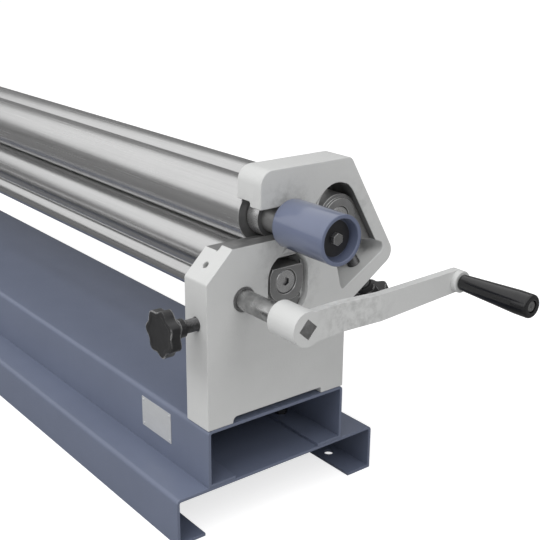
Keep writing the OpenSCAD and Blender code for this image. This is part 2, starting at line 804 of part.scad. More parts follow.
module idler_pin() {
    color(steel) at_left() {
        bar(idler_axis, idler_pin_r, -idler_grip, plane_a + gear_w + free_gap);
        bevelled_bar(idler_axis, idler_head_r, plane_a + gear_w + free_gap,
            plane_a + gear_w + free_gap + idler_head_t, head_bevel);
    }
}
module upper_gear() {
    color(dark_steel) at_left() difference() {
        gear(upper_axis, roll_teeth, upper_phase, plane_a, gears_end);
        bar(upper_axis, stub_r + seat_gap, plane_a - over, gears_end + over);
        keyway(upper_axis, stub_r, plane_a, gears_end);
    }
}
module upper_key() { color(steel) at_left() key_block(upper_axis, stub_r, plane_b, 0); }
module gear_stub() {
    tips = claw_start + claw_disc_t + claw_tip_gap;
    disc = tips + claw_len;
    color(steel) at_left() difference() {
        union() {
            claws(tips, disc + over, 90);
            bar(upper_axis, claw_r, disc, disc + claw_disc_t);
            bar(upper_axis, stub_shoulder_r, disc + claw_disc_t, plane_a);
            bevelled_bar(upper_axis, stub_r, plane_a, cover_outer + cover_boss_len, fine_bevel);
        }
        key_block(upper_axis, stub_r, plane_b, seat_gap);
    }
}

// Gear cover, with the boss that carries the upper gear's stub
function gear_room(teeth) = gear_m * (teeth / 2 + addendum_share) + cover_clear;
function cover_belt(extra) = belt([[drive_axis, gear_room(pinion_teeth) + extra],
    [lower_axis + [0, -lower_drop], gear_room(roll_teeth) + extra],
    [upper_axis, gear_room(roll_teeth) + extra],
    [idler_axis, gear_room(idler_teeth) + extra]], cover_arc_steps);
cover_screw_places = [
    around(drive_axis, gear_room(pinion_teeth) + cover_wall + ear_out, cover_angles[0]),
    around(lower_axis, gear_room(roll_teeth) + cover_wall + ear_out, cover_angles[1]),
    around(upper_axis, gear_room(roll_teeth) + cover_wall + ear_out, cover_angles[2]),
    around(upper_axis, gear_room(roll_teeth) + cover_wall + ear_out, cover_angles[3])];
module gear_cover() {
    boss_hole = stub_r + run_gap + cover_bush_wall;
    color(grey_paint) at_left() difference() {
        union() {
            slab(0, cover_outer) polygon(cover_belt(cover_wall));
            for (p = cover_screw_places) bar(p, ear_r, 0, ear_t);
            bar(upper_axis, boss_hole + cover_boss_wall, cover_inner, cover_outer + cover_boss_len);
        }
        slab(-over, cover_inner) polygon(cover_belt(0));
        bar(upper_axis, boss_hole + seat_gap, cover_inner - over,
            cover_outer + cover_boss_len + over);
        for (p = cover_screw_places) bar(p, cap_shank_r + free_gap, -over, ear_t + over);
        for (p = cover_screw_places) bar(p, cap_r + free_gap, ear_t, cover_outer + over);
    }
}
module cover_bush() {
    color(bronze) at_left() tube(upper_axis, stub_r + run_gap,
        stub_r + run_gap + cover_bush_wall, cover_inner, cover_outer + cover_boss_len);
}
module cover_screws() {
    color(dark_steel) at_left() for (p = cover_screw_places) difference() {
        union() {
            bevelled_bar(p, cap_r, ear_t, ear_t + cap_len, free_gap);
            bar(p, cap_shank_r, -cap_deep, ear_t);
        }
        hex_bar(p, cap_socket_r, ear_t + cap_len / 2, ear_t + cap_len + over);
    }
}

// Drive shaft and crank
module drive_shaft() {
    color(steel) difference() {
        at_machine() {
            bar(drive_axis, drive_r, -end_x - plane_a, end_x + hub_start + hub_round_bore);
            translate([end_x + hub_start, drive_y, drive_z]) rotate([arm_tilt + 45, 0, 0])
                translate([0, -square_w / 2, -square_w / 2])
                    cube([arm_out - hub_start - free_gap, square_w, square_w]);
            bar(drive_axis, pinion_seat_r, -end_x - plane_a - gear_w - clip_from_end
                - clip_t - free_gap, -end_x - plane_a + over);
        }
        at_left() key_block(drive_axis, pinion_seat_r, plane_a + over, seat_gap);
        at_left() tube(drive_axis, pinion_seat_r - clip_wall / 2 - seat_gap, pinion_seat_r + over,
            plane_a + gear_w + free_gap - seat_gap, plane_a + gear_w + free_gap + clip_t + seat_gap);
    }
}
module shaft_collars() {
    color(dark_steel) at_both() tube(drive_axis, drive_r + seat_gap, drive_r + collar_wall,
        -frame_t - free_gap - collar_t, -frame_t - free_gap);
}
// The crank's own frame: u along the arm from the shaft, v upward from it
module crank_way() {
    translate([0, drive_y, drive_z]) rotate([arm_tilt, 0, 0]) children();
}
// Plan of the arm with its two bends, as [x, u] points turned into a slab along v
module arm_plan() {
    low = arm_out - arm_t;
    far = crank_r + boss_end_r;
    translate([0, 0, -arm_h]) linear_extrude(2 * arm_h)
        polygon(rounded([[low, 0, 0], [arm_out, 0, 0], [arm_out, bend_1, bend_round],
            [arm_out + arm_step, bend_2, bend_round], [arm_out + arm_step, far, 0],
            [low + arm_step, far, 0], [low + arm_step, bend_2, bend_round],
            [low, bend_1, bend_round]]));
}
module arm_side() {
    slab(arm_out - arm_t - over, arm_out + arm_step + over) polygon(concat(
        [[0, -arm_h / 2]],
        [for (i = [0 : 2 * arc_steps])
            around([crank_r, 0], boss_end_r, -90 + 90 * i / arc_steps)],
        [[0, arm_h / 2]]));
}
module crank_arm() {
    boss_x = arm_out + arm_step - arm_t;
    color(grey_paint) at_right() crank_way() difference() {
        union() {
            intersection() {
                arm_plan();
                arm_side();
            }
            bar([0, 0], hub_d / 2, hub_start, arm_out);
            bevelled_bar([crank_r, 0], boss_end_r, boss_x, boss_x + arm_t + boss_proud, fine_bevel);
        }
        bar([0, 0], drive_r + seat_gap, hub_start - over, hub_start + hub_round_bore);
        rotate([45, 0, 0]) translate([hub_start, -square_w / 2 - seat_gap, -square_w / 2 - seat_gap])
            cube([arm_out - hub_start + over, square_w + 2 * seat_gap, square_w + 2 * seat_gap]);
        bar([crank_r, 0], grip_spindle_r + seat_gap, boss_x - over, boss_x + arm_t + boss_proud + over);
        set_screw_way(seat_gap, over);
    }
}
module set_screw_way(gap, extra) {
    translate([(hub_start + arm_out) / 2, 0, 0]) rotate([-135, 0, 0])
        translate([0, 0, square_w / 2 + free_gap])
            cylinder(r = set_screw_r + gap, h = set_screw_len + extra);
}
module crank_screw() { color(dark_steel) at_right() crank_way() set_screw_way(0, -set_screw_sunk); }
module grip_screw() {
    boss_x = arm_out + arm_step - arm_t;
    end = arm_out + arm_step + boss_proud + free_gap + grip_len - grip_recess;
    color(steel) at_right() crank_way() difference() {
        union() {
            bar([crank_r, 0], grip_spindle_r, boss_x + free_gap, end + free_gap);
            bevelled_bar([crank_r, 0], grip_head_r, end + free_gap, end + free_gap + grip_head_t,
                fine_bevel);
        }
        hex_bar([crank_r, 0], grip_nose, end + grip_head_t / 2, end + grip_head_t + over);
    }
}
module crank_grip() {
    start = arm_out + arm_step + boss_proud + free_gap;
    bore = grip_spindle_r + run_gap;
    color(black_plastic) at_right() crank_way() translate([start, crank_r, 0]) rotate([0, 90, 0])
        rotate_extrude() polygon(rounded([[bore, 0, 0], [grip_small_r, 0, grip_round / 3],
            [grip_d / 2, grip_len * 4 / 5, grip_len / 4], [grip_d / 2, grip_len, grip_round],
            [grip_recess_r, grip_len, 0], [grip_recess_r, grip_len - grip_recess, 0],
            [bore, grip_len - grip_recess, 0]]));
}

// Lower roll, its blocks and its wedges
module end_screw(axis, x0) {
    difference() {
        union() {
            bevelled_bar(axis, head_r, x0, x0 + head_t, head_bevel);
            bar(axis, shank_r, x0 - shank_len, x0);
        }
        hex_bar(axis, socket_r, x0 + head_t - socket_deep, x0 + head_t + over);
    }
}
// Outer end of a journal, and the blind hole for its end screw
lower_journal_x = -block_inset - recess_deep + free_gap;
rear_face_x = rear_boss_t - rear_block_inset;
rear_journal_x = rear_face_x - recess_deep + free_gap;
module lower_roll() {
    end_in = end_x - frame_t - side_gap;
    color(steel) difference() {
        at_machine() {
            roll_body(lower_axis, -end_in, end_in);
            bar(lower_axis, small_r, -end_x - plane_b, end_x + lower_journal_x);
            bar(lower_axis, lower_seat_r, -end_x - gears_end - free_gap / 2, 0);
        }
        at_right() bar(lower_axis, shank_r + seat_gap, lower_journal_x - shank_len - over,
            lower_journal_x + over);
        at_left() bar(lower_axis, shank_r + seat_gap, gears_end - shank_len - over,
            gears_end + 2 * over);
        at_left() key_block(lower_axis, lower_seat_r, plane_b + over, seat_gap);
    }
}
module lower_end_screw() { color(dark_steel) at_right() end_screw(lower_axis, lower_journal_x); }
module gear_end_screw() {
    color(dark_steel) at_left() end_screw(lower_axis, gears_end + free_gap / 2);
}
module lower_gear() {
    color(dark_steel) at_left() difference() {
        gear(lower_axis, roll_teeth, lower_phase, plane_b, gears_end);
        bar(lower_axis, lower_seat_r + seat_gap, plane_b - over, gears_end + over);
        keyway(lower_axis, lower_seat_r, plane_b, gears_end);
    }
}
module lower_key() { color(steel) at_left() key_block(lower_axis, lower_seat_r, plane_b + over, 0); }
module lower_block(through) {
    front_low = block_low_z + wedge_slope * block_w / 2;
    rear_low = block_low_z - wedge_slope * block_w / 2;
    color(dark_steel) difference() {
        union() {
            slab(-frame_t + block_inner, -window_depth - slide_gap) polygon(rounded(concat(
                [[block_front, front_low, 0], [block_rear, rear_low, 0]], block_head)));
            slab(-window_depth - slide_gap - over, -block_inset) polygon(rounded(concat(
                [[block_front, block_face_z, block_face_r], [block_rear, block_face_z, block_face_r]],
                block_head)));
        }
        bar(lower_axis, small_r + run_gap + bush_wall + seat_gap, -frame_t - over,
            through ? over : -block_inset - recess_deep);
        if (!through) bar(lower_axis, head_r + recess_gap, -block_inset - recess_deep - seat_gap, over);
    }
}
module lower_block_right() { at_right() lower_block(false); }
module lower_block_left() { at_left() lower_block(true); }
module lower_bushes() {
    color(bronze) {
        at_right() tube(lower_axis, small_r + run_gap, small_r + run_gap + bush_wall,
            -frame_t + block_inner, -block_inset - recess_deep);
        at_left() tube(lower_axis, small_r + run_gap, small_r + run_gap + bush_wall,
            -frame_t + block_inner, -block_inset);
    }
}
module wedge() {
    front_top = block_low_z + wedge_slope * (block_mid - wedge_front) - slide_gap;
    rear_y0 = block_rear - slide_gap;
    rear_top = block_low_z - wedge_slope * (rear_y0 - block_mid) - slide_gap;
    color(dark_steel) difference() {
        slab(mid_x - wedge_half, mid_x + wedge_half) polygon([[wedge_front, wedge_floor],
            [rear_y0, wedge_floor], [rear_y0, rear_top], [wedge_front, front_top]]);
        front_way() translate([0, 0, -wedge_front - over]) button_slot();
    }
}
// A slot, open to the outside, for a stud's neck and button. Its mouth faces +z
module button_slot() {
    deep = button_seat + button_t + 2 * slide_gap;
    translate([0, 0, over]) {
        translate([-neck_r - slide_gap, -neck_r - slide_gap, -button_seat - over])
            cube([2 * frame_t, 2 * (neck_r + slide_gap), button_seat + 2 * over]);
        translate([-button_r - slide_gap, -button_r - slide_gap, -deep])
            cube([2 * frame_t, 2 * (button_r + slide_gap), button_t + 2 * slide_gap]);
    }
}
module lower_wedge_right() { at_right() wedge(); }
module lower_wedge_left() { at_left() wedge(); }

// A stud along +z: its button seats in a slot whose mouth is at z = mouth
module stud(mouth, end) {
    top = mouth - button_seat - slide_gap;
    color(dark_steel) {
        translate([0, 0, top - button_t]) cylinder(r = button_r, h = button_t);
        translate([0, 0, top - over]) cylinder(r = neck_r, h = neck_len + over);
        translate([0, 0, top + neck_len - over]) cylinder(r = stud_r, h = end - top - neck_len + over);
    }
}
// A star knob along +z, with its hub towards the frame and starting at z = 0
module star_knob() {
    star = knob_hub_len;
    wave = knob_wave_share * knob_d / 2;
    color(black_plastic) difference() {
        union() {
            rotate_extrude() polygon([[0, 0], [knob_hub_r, 0], [knob_hub_r, knob_hub_len / 3],
                [knob_root_r, star], [0, star]]);
            translate([0, 0, star - over]) linear_extrude(knob_t + over)
                polygon([for (i = [0 : knob_points - 1]) let (a = 360 * i / knob_points)
                    around([0, 0], knob_d / 2 - wave - wave * cos(knob_lobes * a), a)]);
        }
        translate([0, 0, -over]) cylinder(r = stud_r + seat_gap, h = knob_bore_deep + over);
    }
}
module front_knob_right() { at_right() front_way() translate([0, 0, knob_back]) star_knob(); }
module front_knob_left() { at_left() front_way() translate([0, 0, knob_back]) star_knob(); }
module front_stud() { front_way() stud(-wedge_front, knob_back + knob_bore_deep - free_gap); }
module front_stud_right() { at_right() front_stud(); }
module front_stud_left() { at_left() front_stud(); }

// Rear roll, its blocks and its screws
module rear_block() {
    inner = -rear_block_inset - rear_block_t;
    leg_side = stud_r + free_gap;
    leg_end = rear_reach - lip_t - rear_down - free_gap;
    color(dark_steel) difference() {
        union() {
            slab(inner, -rear_block_inset) polygon(concat(
                [for (i = [0 : 3 * arc_steps])
                    rear_axis + rear_block_r * (cos(180 * i / 3 / arc_steps) * slide_side
                        - sin(180 * i / 3 / arc_steps) * slide_down)],
                [on_slide(-rear_block_r, rear_block_base), on_slide(leg_side, rear_block_base),
                on_slide(leg_side, leg_end - rear_leg_rise), on_slide(rear_block_r, leg_end)]));
            bar(rear_axis, rear_boss_r, -rear_block_inset - over, rear_face_x);
        }
        bar(rear_axis, small_r + run_gap + bush_wall + seat_gap, -frame_t - over,
            rear_face_x - recess_deep);
        bar(rear_axis, head_r + recess_gap, rear_face_x - recess_deep - seat_gap, over);
        rear_way() translate([0, 0, rear_block_base - over]) button_slot();
    }
}
module rear_block_right() { at_right() rear_block(); }
module rear_block_left() { at_left() rear_block(); }
module rear_bushes() {
    color(bronze) at_both() tube(rear_axis, small_r + run_gap, small_r + run_gap + bush_wall,
        -rear_block_inset - rear_block_t, rear_face_x - recess_deep);
}
module rear_roll() {
    end_in = end_x - frame_t - side_gap;
    color(steel) difference() {
        at_machine() {
            roll_body(rear_axis, -end_in, end_in);
            bar(rear_axis, small_r, -end_x - rear_journal_x, end_x + rear_journal_x);
        }
        at_both() bar(rear_axis, shank_r + seat_gap, rear_journal_x - shank_len - over,
            rear_journal_x + over);
    }
}
module rear_end_screws() { color(dark_steel) at_both() end_screw(rear_axis, rear_journal_x); }
module rear_knob() {
    rear_way() translate([0, 0, rear_reach + rear_knob_gap]) star_knob();
}
module rear_stud() {
    rear_way() stud(rear_block_base, rear_reach + rear_knob_gap + knob_bore_deep - free_gap);
}
module rear_knob_right() { at_right() rear_knob(); }
module rear_stud_right() { at_right() rear_stud(); }
module rear_knob_left() { at_left() rear_knob(); }
module rear_stud_left() { at_left() rear_stud(); }

lower_base();
base_beam();
right_frame();
left_frame();
frame_bolts();
base_bolts();
base_nuts();
shaft_bushes();
pivot_pins();
idler_pin();
gear_cover();
cover_bush();
cover_screws();
blank_plate();
drive_shaft();
drive_pinion();
pinion_key();
pinion_clip();
shaft_collars();
crank_arm();
crank_screw();
grip_screw();
crank_grip();
idler_gear();
idler_bush();
upper_gear();
gear_stub();
upper_key();
swivel_block();
swivel_bush();
end_bush();
upper_roll();
roll_claw();
sleeve_washer();
sleeve_bolt();
release_sleeve();
lower_block_right();
lower_block_left();
lower_bushes();
lower_roll();
lower_end_screw();
lower_gear();
lower_key();
gear_end_screw();
lower_wedge_right();
lower_wedge_left();
front_knob_right();
front_stud_right();
front_knob_left();
front_stud_left();
rear_block_right();
rear_block_left();
rear_bushes();
rear_roll();
rear_end_screws();
rear_knob_right();
rear_stud_right();
rear_knob_left();
rear_stud_left();
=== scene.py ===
"""Looks of a hand-cranked three-roll slip roll machine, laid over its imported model."""

import json
import math

import bpy
from bpy.props import FloatProperty, FloatVectorProperty, IntProperty, PointerProperty
from bpy.types import Operator, Panel, PropertyGroup
from mathutils import Matrix, Vector


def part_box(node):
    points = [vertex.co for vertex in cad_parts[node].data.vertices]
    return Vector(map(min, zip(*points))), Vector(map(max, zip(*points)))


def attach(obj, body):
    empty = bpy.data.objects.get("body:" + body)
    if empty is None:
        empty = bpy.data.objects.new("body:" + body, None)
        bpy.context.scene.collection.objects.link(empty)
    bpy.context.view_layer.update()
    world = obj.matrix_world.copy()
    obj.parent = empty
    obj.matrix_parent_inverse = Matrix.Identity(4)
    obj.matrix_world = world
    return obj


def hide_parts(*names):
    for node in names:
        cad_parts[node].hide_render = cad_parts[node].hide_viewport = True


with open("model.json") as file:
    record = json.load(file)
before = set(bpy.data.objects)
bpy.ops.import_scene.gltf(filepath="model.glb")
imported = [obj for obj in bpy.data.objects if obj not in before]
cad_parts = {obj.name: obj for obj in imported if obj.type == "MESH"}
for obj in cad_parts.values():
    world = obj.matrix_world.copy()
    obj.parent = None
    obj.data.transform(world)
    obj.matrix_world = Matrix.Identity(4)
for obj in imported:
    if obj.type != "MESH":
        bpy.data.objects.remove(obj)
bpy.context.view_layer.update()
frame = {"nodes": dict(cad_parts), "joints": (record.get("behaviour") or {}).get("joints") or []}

bl_info = {
    "name": "Slip Roll Looks",
    "version": (1, 0, 0),
    "blender": (4, 5, 0),
    "location": "3D View > Sidebar > Slip Roll",
    "description": "Finishes, threads, star knobs and studio for a slip roll machine",
    "category": "Object",
}

NODES = frame["nodes"]
JOINTS = {joint["name"]: joint for joint in frame["joints"]}
MM = 0.001
FULL_TURN = 2 * math.pi
MIX_FIRST, MIX_SECOND, MIX_RESULT = 6, 7, 2      # a Mix node's sockets for colours
RUBBED = 0.55                                    # tone of rubbed or oily paint beside clean paint


def colour_prop(name, description, default):
    """A colour, kept as linear red, green and blue."""
    return FloatVectorProperty(name=name, description=description, subtype="COLOR", size=3,
                               min=0.0, max=1.0, default=default)


def length_prop(name, description, default):
    """A length in metres."""
    return FloatProperty(name=name, description=description, default=default, min=0.0,
                         unit="LENGTH", precision=5)


class MachineColours(PropertyGroup):
    """Colours of the machine's finishes."""

    casting: colour_prop("Casting paint", "Light grey paint on the end frames and crank",
                         (0.60, 0.605, 0.60))
    base: colour_prop("Base paint", "Slate blue paint on the beam and the base",
                      (0.144, 0.167, 0.236))
    sleeve: colour_prop("Sleeve paint", "Glossier slate blue paint on the release sleeve",
                        (0.132, 0.155, 0.236))
    ground: colour_prop("Ground steel", "Ground surface of the rolls", (0.64, 0.64, 0.64))
    shaft: colour_prop("Shaft steel", "Drawn bar of the drive shaft", (0.58, 0.58, 0.58))
    bar: colour_prop("Bar steel", "Pins, keys and wedges", (0.43, 0.43, 0.43))
    turned: colour_prop("Turned steel", "End screws, rings and bushes", (0.66, 0.66, 0.66))
    milled: colour_prop("Milled iron", "Unpainted faces of the end frames, and dull ends",
                        (0.25, 0.25, 0.25))
    bearing: colour_prop("Bearing steel", "Oiled blocks, collars and claws",
                         (0.30, 0.30, 0.30))
    gear: colour_prop("Gear steel", "Cut and greased gears", (0.30, 0.29, 0.27))
    screw: colour_prop("Screw steel", "Blackened screws and bolts", (0.080, 0.080, 0.083))
    stud: colour_prop("Stud steel", "Oiled threads of the adjusting studs", (0.150, 0.150, 0.152))
    bronze: colour_prop("Bronze", "Turned bearing bushes", (0.50, 0.33, 0.14))
    knob: colour_prop("Knob plastic", "Black moulded knobs", (0.018, 0.018, 0.019))
    grip: colour_prop("Grip plastic", "Glossy black crank grip", (0.008, 0.008, 0.009))
    plate: colour_prop("Plate", "Plain aluminium plate", (0.60, 0.61, 0.62))
    floor: colour_prop("Floor", "Pale floor", (0.65, 0.65, 0.65))


class MachineSizes(PropertyGroup):
    """Sizes of the edges, threads, knobs and small pieces."""

    casting_edge: length_prop("Casting edge", "Rounding of the end frames' edges", 1.4 * MM)
    cover_edge: length_prop("Cover edge", "Rounding of the gear cover's edges", 1.5 * MM)
    crank_edge: length_prop("Crank edge", "Rounding of the crank arm's edges", 1.6 * MM)
    sheet_edge: length_prop("Sheet edge", "Rounding of the sheet's cut edges", 0.6 * MM)
    block_edge: length_prop("Block edge", "Bevel of the bearing blocks and wedges", 0.8 * MM)
    fine_edge: length_prop("Fine edge", "Bevel of the sleeve, its bolt and the shaft collars",
                           0.4 * MM)
    thread_pitch: length_prop("Thread pitch", "Pitch of the adjusting studs", 2.0 * MM)
    thread_depth: length_prop("Thread depth", "Depth of the studs' thread", 1.1 * MM)
    knob_rim: length_prop("Knob rim", "Rounding of a star knob's rim", 1.1 * MM)
    knob_dish: length_prop("Knob dish", "Hollow in the face of a star knob", 0.7 * MM)
    rivet_radius: length_prop("Rivet radius", "Radius of the plate's rivets", 1.7 * MM)
    knob_lobes: IntProperty(name="Knob lobes", description="Lobes on a star knob", default=7,
                            min=3, max=12)


class StageSettings(PropertyGroup):
    """Camera and light of the studio."""

    camera_place: FloatVectorProperty(name="Camera place", description="Where the camera stands",
                                      subtype="TRANSLATION", unit="LENGTH", size=3,
                                      default=(1.56516, -0.70233, 0.70027))
    camera_heading: FloatProperty(name="Heading", description="Turn of the camera from +Y to -X",
                                  subtype="ANGLE", default=math.radians(51.859))
    camera_pitch: FloatProperty(name="Pitch", description="How far the camera looks down",
                                subtype="ANGLE", default=math.radians(18.872))
    camera_roll: FloatProperty(name="Roll", description="Roll of the camera",
                               subtype="ANGLE", default=math.radians(0.452))
    lens: FloatProperty(name="Lens", description="Focal length on a 36 mm sensor, in mm",
                        default=66.47, min=10.0, max=300.0)
    ambient: FloatProperty(name="Ambient", description="Strength of the light from all round",
                           default=0.48, min=0.0, max=4.0)
    key_power: FloatProperty(name="Key light", description="Power of the large front light",
                             default=92.0, min=0.0, unit="POWER")
    fill_power: FloatProperty(name="Side light", default=21.0, min=0.0, unit="POWER",
                              description="Power of the light at the crank's end")
    floor_glow: FloatProperty(name="Floor glow", default=0.70, min=0.0, max=2.0,
                              description="Light that the floor adds for the eye and for gloss")
    card_grey: FloatProperty(name="Card grey", description="Tone of the cards that steel reflects",
                             default=0.36, min=0.0, max=1.0)
    card_radius: length_prop("Card radius", "Distance from the machine to the standing card", 5.0)
    card_height: length_prop("Card height", "Height of the standing card at its sides", 2.3)
    card_lean: length_prop("Card lean", "How much higher the card stands behind the machine",
                           2.1)


def colours():
    """The colours that the panel holds."""
    return bpy.context.scene.slip_roll_colours


def sizes():
    """The sizes that the panel holds."""
    return bpy.context.scene.slip_roll_sizes


# Shader node helpers

def add_node(tree, kind, place=(0, 0), **settings):
    """A node of that kind, with its plain settings."""
    node = tree.nodes.new(kind)
    node.location = place
    for name, value in settings.items():
        setattr(node, name, value)
    return node


def feed(tree, socket, value):
    """Links an output to a socket, or sets the socket's value."""
    if isinstance(value, bpy.types.NodeSocket):
        tree.links.new(value, socket)
    else:
        socket.default_value = value


def math_node(tree, operation, first, second=0.0):
    """One step of arithmetic on two values or outputs."""
    node = add_node(tree, "ShaderNodeMath", operation=operation)
    feed(tree, node.inputs[0], first)
    feed(tree, node.inputs[1], second)
    return node.outputs[0]


def mix_colour(tree, share, first, second):
    """The first colour at share 0, and the second at share 1."""
    node = add_node(tree, "ShaderNodeMix", data_type="RGBA")
    feed(tree, node.inputs["Factor"], share)
    feed(tree, node.inputs[MIX_FIRST], first)
    feed(tree, node.inputs[MIX_SECOND], second)
    return node.outputs[MIX_RESULT]


def scaled_coordinates(tree, scale):
    """Object coordinates, scaled per axis, so that one noise cell is 1/scale metres long."""
    coordinates = add_node(tree, "ShaderNodeTexCoord")
    mapping = add_node(tree, "ShaderNodeMapping")
    tree.links.new(coordinates.outputs["Object"], mapping.inputs["Vector"])
    feed(tree, mapping.inputs["Scale"], scale)
    return mapping.outputs["Vector"]


def noise(tree, vector, scale=1.0, detail=3.0, roughness=0.5):
    """Soft noise from 0 to 1, mostly near 0.5."""
    node = add_node(tree, "ShaderNodeTexNoise")
    feed(tree, node.inputs["Vector"], vector)
    feed(tree, node.inputs["Scale"], scale)
    feed(tree, node.inputs["Detail"], detail)
    feed(tree, node.inputs["Roughness"], roughness)
    return node.outputs["Fac"]


def map_range(tree, value, low, high, to_low, to_high):
    """A value between low and high, carried over to the range from to_low to to_high."""
    node = add_node(tree, "ShaderNodeMapRange")
    for socket, number in zip(node.inputs[:5], (value, low, high, to_low, to_high)):
        feed(tree, socket, number)
    return node.outputs["Result"]


def make_group(name, inputs, outputs):
    """An empty shader node group with named inputs and outputs."""
    group = bpy.data.node_groups.new(name, "ShaderNodeTree")
    for label, kind, default in inputs:
        socket = group.interface.new_socket(label, in_out="INPUT", socket_type=kind)
        socket.default_value = default
    for label, kind in outputs:
        group.interface.new_socket(label, in_out="OUTPUT", socket_type=kind)
    given = add_node(group, "NodeGroupInput").outputs
    return group, given, add_node(group, "NodeGroupOutput").inputs


def mottle_group():
    """Cloudy tone at one size and a fine grain at another, as paint and castings have."""
    group, given, out = make_group(
        "Mottle",
        [("Cloud size", "NodeSocketFloat", 0.05), ("Grain size", "NodeSocketFloat", 0.001),
         ("Contrast", "NodeSocketFloat", 0.1)],
        [("Tone", "NodeSocketFloat"), ("Grain", "NodeSocketFloat")])
    place = scaled_coordinates(group, (1.0, 1.0, 1.0))
    cloud = noise(group, place, math_node(group, "DIVIDE", 1.0, given["Cloud size"]), 4.0, 0.55)
    grain = noise(group, place, math_node(group, "DIVIDE", 1.0, given["Grain size"]), 2.0, 0.5)
    swing = math_node(group, "MULTIPLY", math_node(group, "SUBTRACT", cloud, 0.5),
                      given["Contrast"])
    feed(group, out["Tone"], math_node(group, "ADD", 1.0, swing))
    feed(group, out["Grain"], grain)
    return group


def edge_group():
    """A mask that is 1 on outer edges, broken up by a noise."""
    group, given, out = make_group(
        "Worn edges",
        [("Width", "NodeSocketFloat", 0.002), ("Patch size", "NodeSocketFloat", 0.01),
         ("Amount", "NodeSocketFloat", 0.5)],
        [("Mask", "NodeSocketFloat")])
    bevel = add_node(group, "ShaderNodeBevel", samples=4)
    feed(group, bevel.inputs["Radius"], given["Width"])
    surface = add_node(group, "ShaderNodeNewGeometry")
    dot = add_node(group, "ShaderNodeVectorMath", operation="DOT_PRODUCT")
    feed(group, dot.inputs[0], bevel.outputs["Normal"])
    feed(group, dot.inputs[1], surface.outputs["Normal"])
    edge = map_range(group, dot.outputs["Value"], 0.99, 0.90, 0.0, 1.0)
    place = scaled_coordinates(group, (1.0, 1.0, 1.0))
    patch = noise(group, place, math_node(group, "DIVIDE", 1.0, given["Patch size"]), 4.0, 0.6)
    chosen = map_range(group, patch, 0.42, 0.62, 0.0, 1.0)
    worn = math_node(group, "MULTIPLY", edge, chosen)
    feed(group, out["Mask"], math_node(group, "MULTIPLY", worn, given["Amount"]))
    return group


def turned_group():
    """Fine rings round the X axis, with faint streaks along it, as a ground roll has."""
    group, given, out = make_group(
        "Turned about X",
        [("Rings per metre", "NodeSocketFloat", 900.0), ("Streak size", "NodeSocketFloat", 0.01),
         ("Contrast", "NodeSocketFloat", 0.1)],
        [("Tone", "NodeSocketFloat"), ("Streaks", "NodeSocketFloat")])
    rings = noise(group, scaled_coordinates(group, (1.0, 0.02, 0.02)), given["Rings per metre"],
                  3.0, 0.7)
    streaks = noise(group, scaled_coordinates(group, (0.015, 1.0, 1.0)),
                    math_node(group, "DIVIDE", 1.0, given["Streak size"]), 3.0, 0.6)
    both = math_node(group, "ADD", math_node(group, "MULTIPLY", rings, 0.3),
                     math_node(group, "MULTIPLY", streaks, 0.7))
    swing = math_node(group, "MULTIPLY", math_node(group, "SUBTRACT", both, 0.5),
                      given["Contrast"])
    feed(group, out["Tone"], math_node(group, "ADD", 1.0, swing))
    feed(group, out["Streaks"], streaks)
    return group


GROUP_MAKERS = {"Mottle": mottle_group, "Worn edges": edge_group, "Turned about X": turned_group}


def place_group(tree, name, **values):
    """A copy of a shared group in this material, with its own values."""
    group = bpy.data.node_groups.get(name) or GROUP_MAKERS[name]()
    node = add_node(tree, "ShaderNodeGroup", node_tree=group)
    for label, value in values.items():
        feed(tree, node.inputs[label.replace("_", " ")], value)
    return node.outputs


def finish_name(name):
    """A finish's own name in Blender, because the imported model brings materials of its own."""
    return f"{name}_finish"


def start_material(name, roughness, metallic=0.0, **plain):
    """A material with one Principled shader. Plain values are set on the shader's own sockets."""
    material = bpy.data.materials.new(finish_name(name))
    material.use_nodes = True
    tree = material.node_tree
    shader = tree.nodes["Principled BSDF"]
    shader.inputs["Roughness"].default_value = roughness
    shader.inputs["Metallic"].default_value = metallic
    for label, value in plain.items():
        shader.inputs[label.replace("_", " ")].default_value = value
    return material, tree, shader.inputs


def rough_surface(tree, inputs, height, depth, strength=1.0):
    """Height that reaches the normal through a bump, with its depth in metres."""
    bump = add_node(tree, "ShaderNodeBump")
    feed(tree, bump.inputs["Strength"], strength)
    feed(tree, bump.inputs["Distance"], depth)
    feed(tree, bump.inputs["Height"], height)
    feed(tree, inputs["Normal"], bump.outputs["Normal"])


def toned(tree, colour, tone):
    """A colour whose brightness follows a tone near 1."""
    node = add_node(tree, "ShaderNodeVectorMath", operation="SCALE")
    feed(tree, node.inputs[0], tuple(colour))
    feed(tree, node.inputs["Scale"], tone)
    return node.outputs["Vector"]


def opaque(colour):
    """A colour with full cover."""
    return (*colour, 1.0)


def oil_smudges(tree, joints):
    """A patchy mask that fades out round the joints' axes, which run along X."""
    full, none = 26 * MM, 58 * MM       # distances where the smudges are thick, and gone
    across = scaled_coordinates(tree, (0.0, 1.0, 1.0))
    near = 0.0
    for joint in joints:
        distance = add_node(tree, "ShaderNodeVectorMath", operation="DISTANCE")
        feed(tree, distance.inputs[0], across)
        feed(tree, distance.inputs[1], (0.0, *axis_of(joint).yz))
        ring = map_range(tree, distance.outputs["Value"], full, none, 1.0, 0.0)
        near = math_node(tree, "MAXIMUM", near, ring)
    patches = noise(tree, scaled_coordinates(tree, (1.0, 1.0, 1.0)), 85.0, 5.0, 0.65)
    return math_node(tree, "MULTIPLY", near, map_range(tree, patches, 0.44, 0.66, 0.0, 0.55))


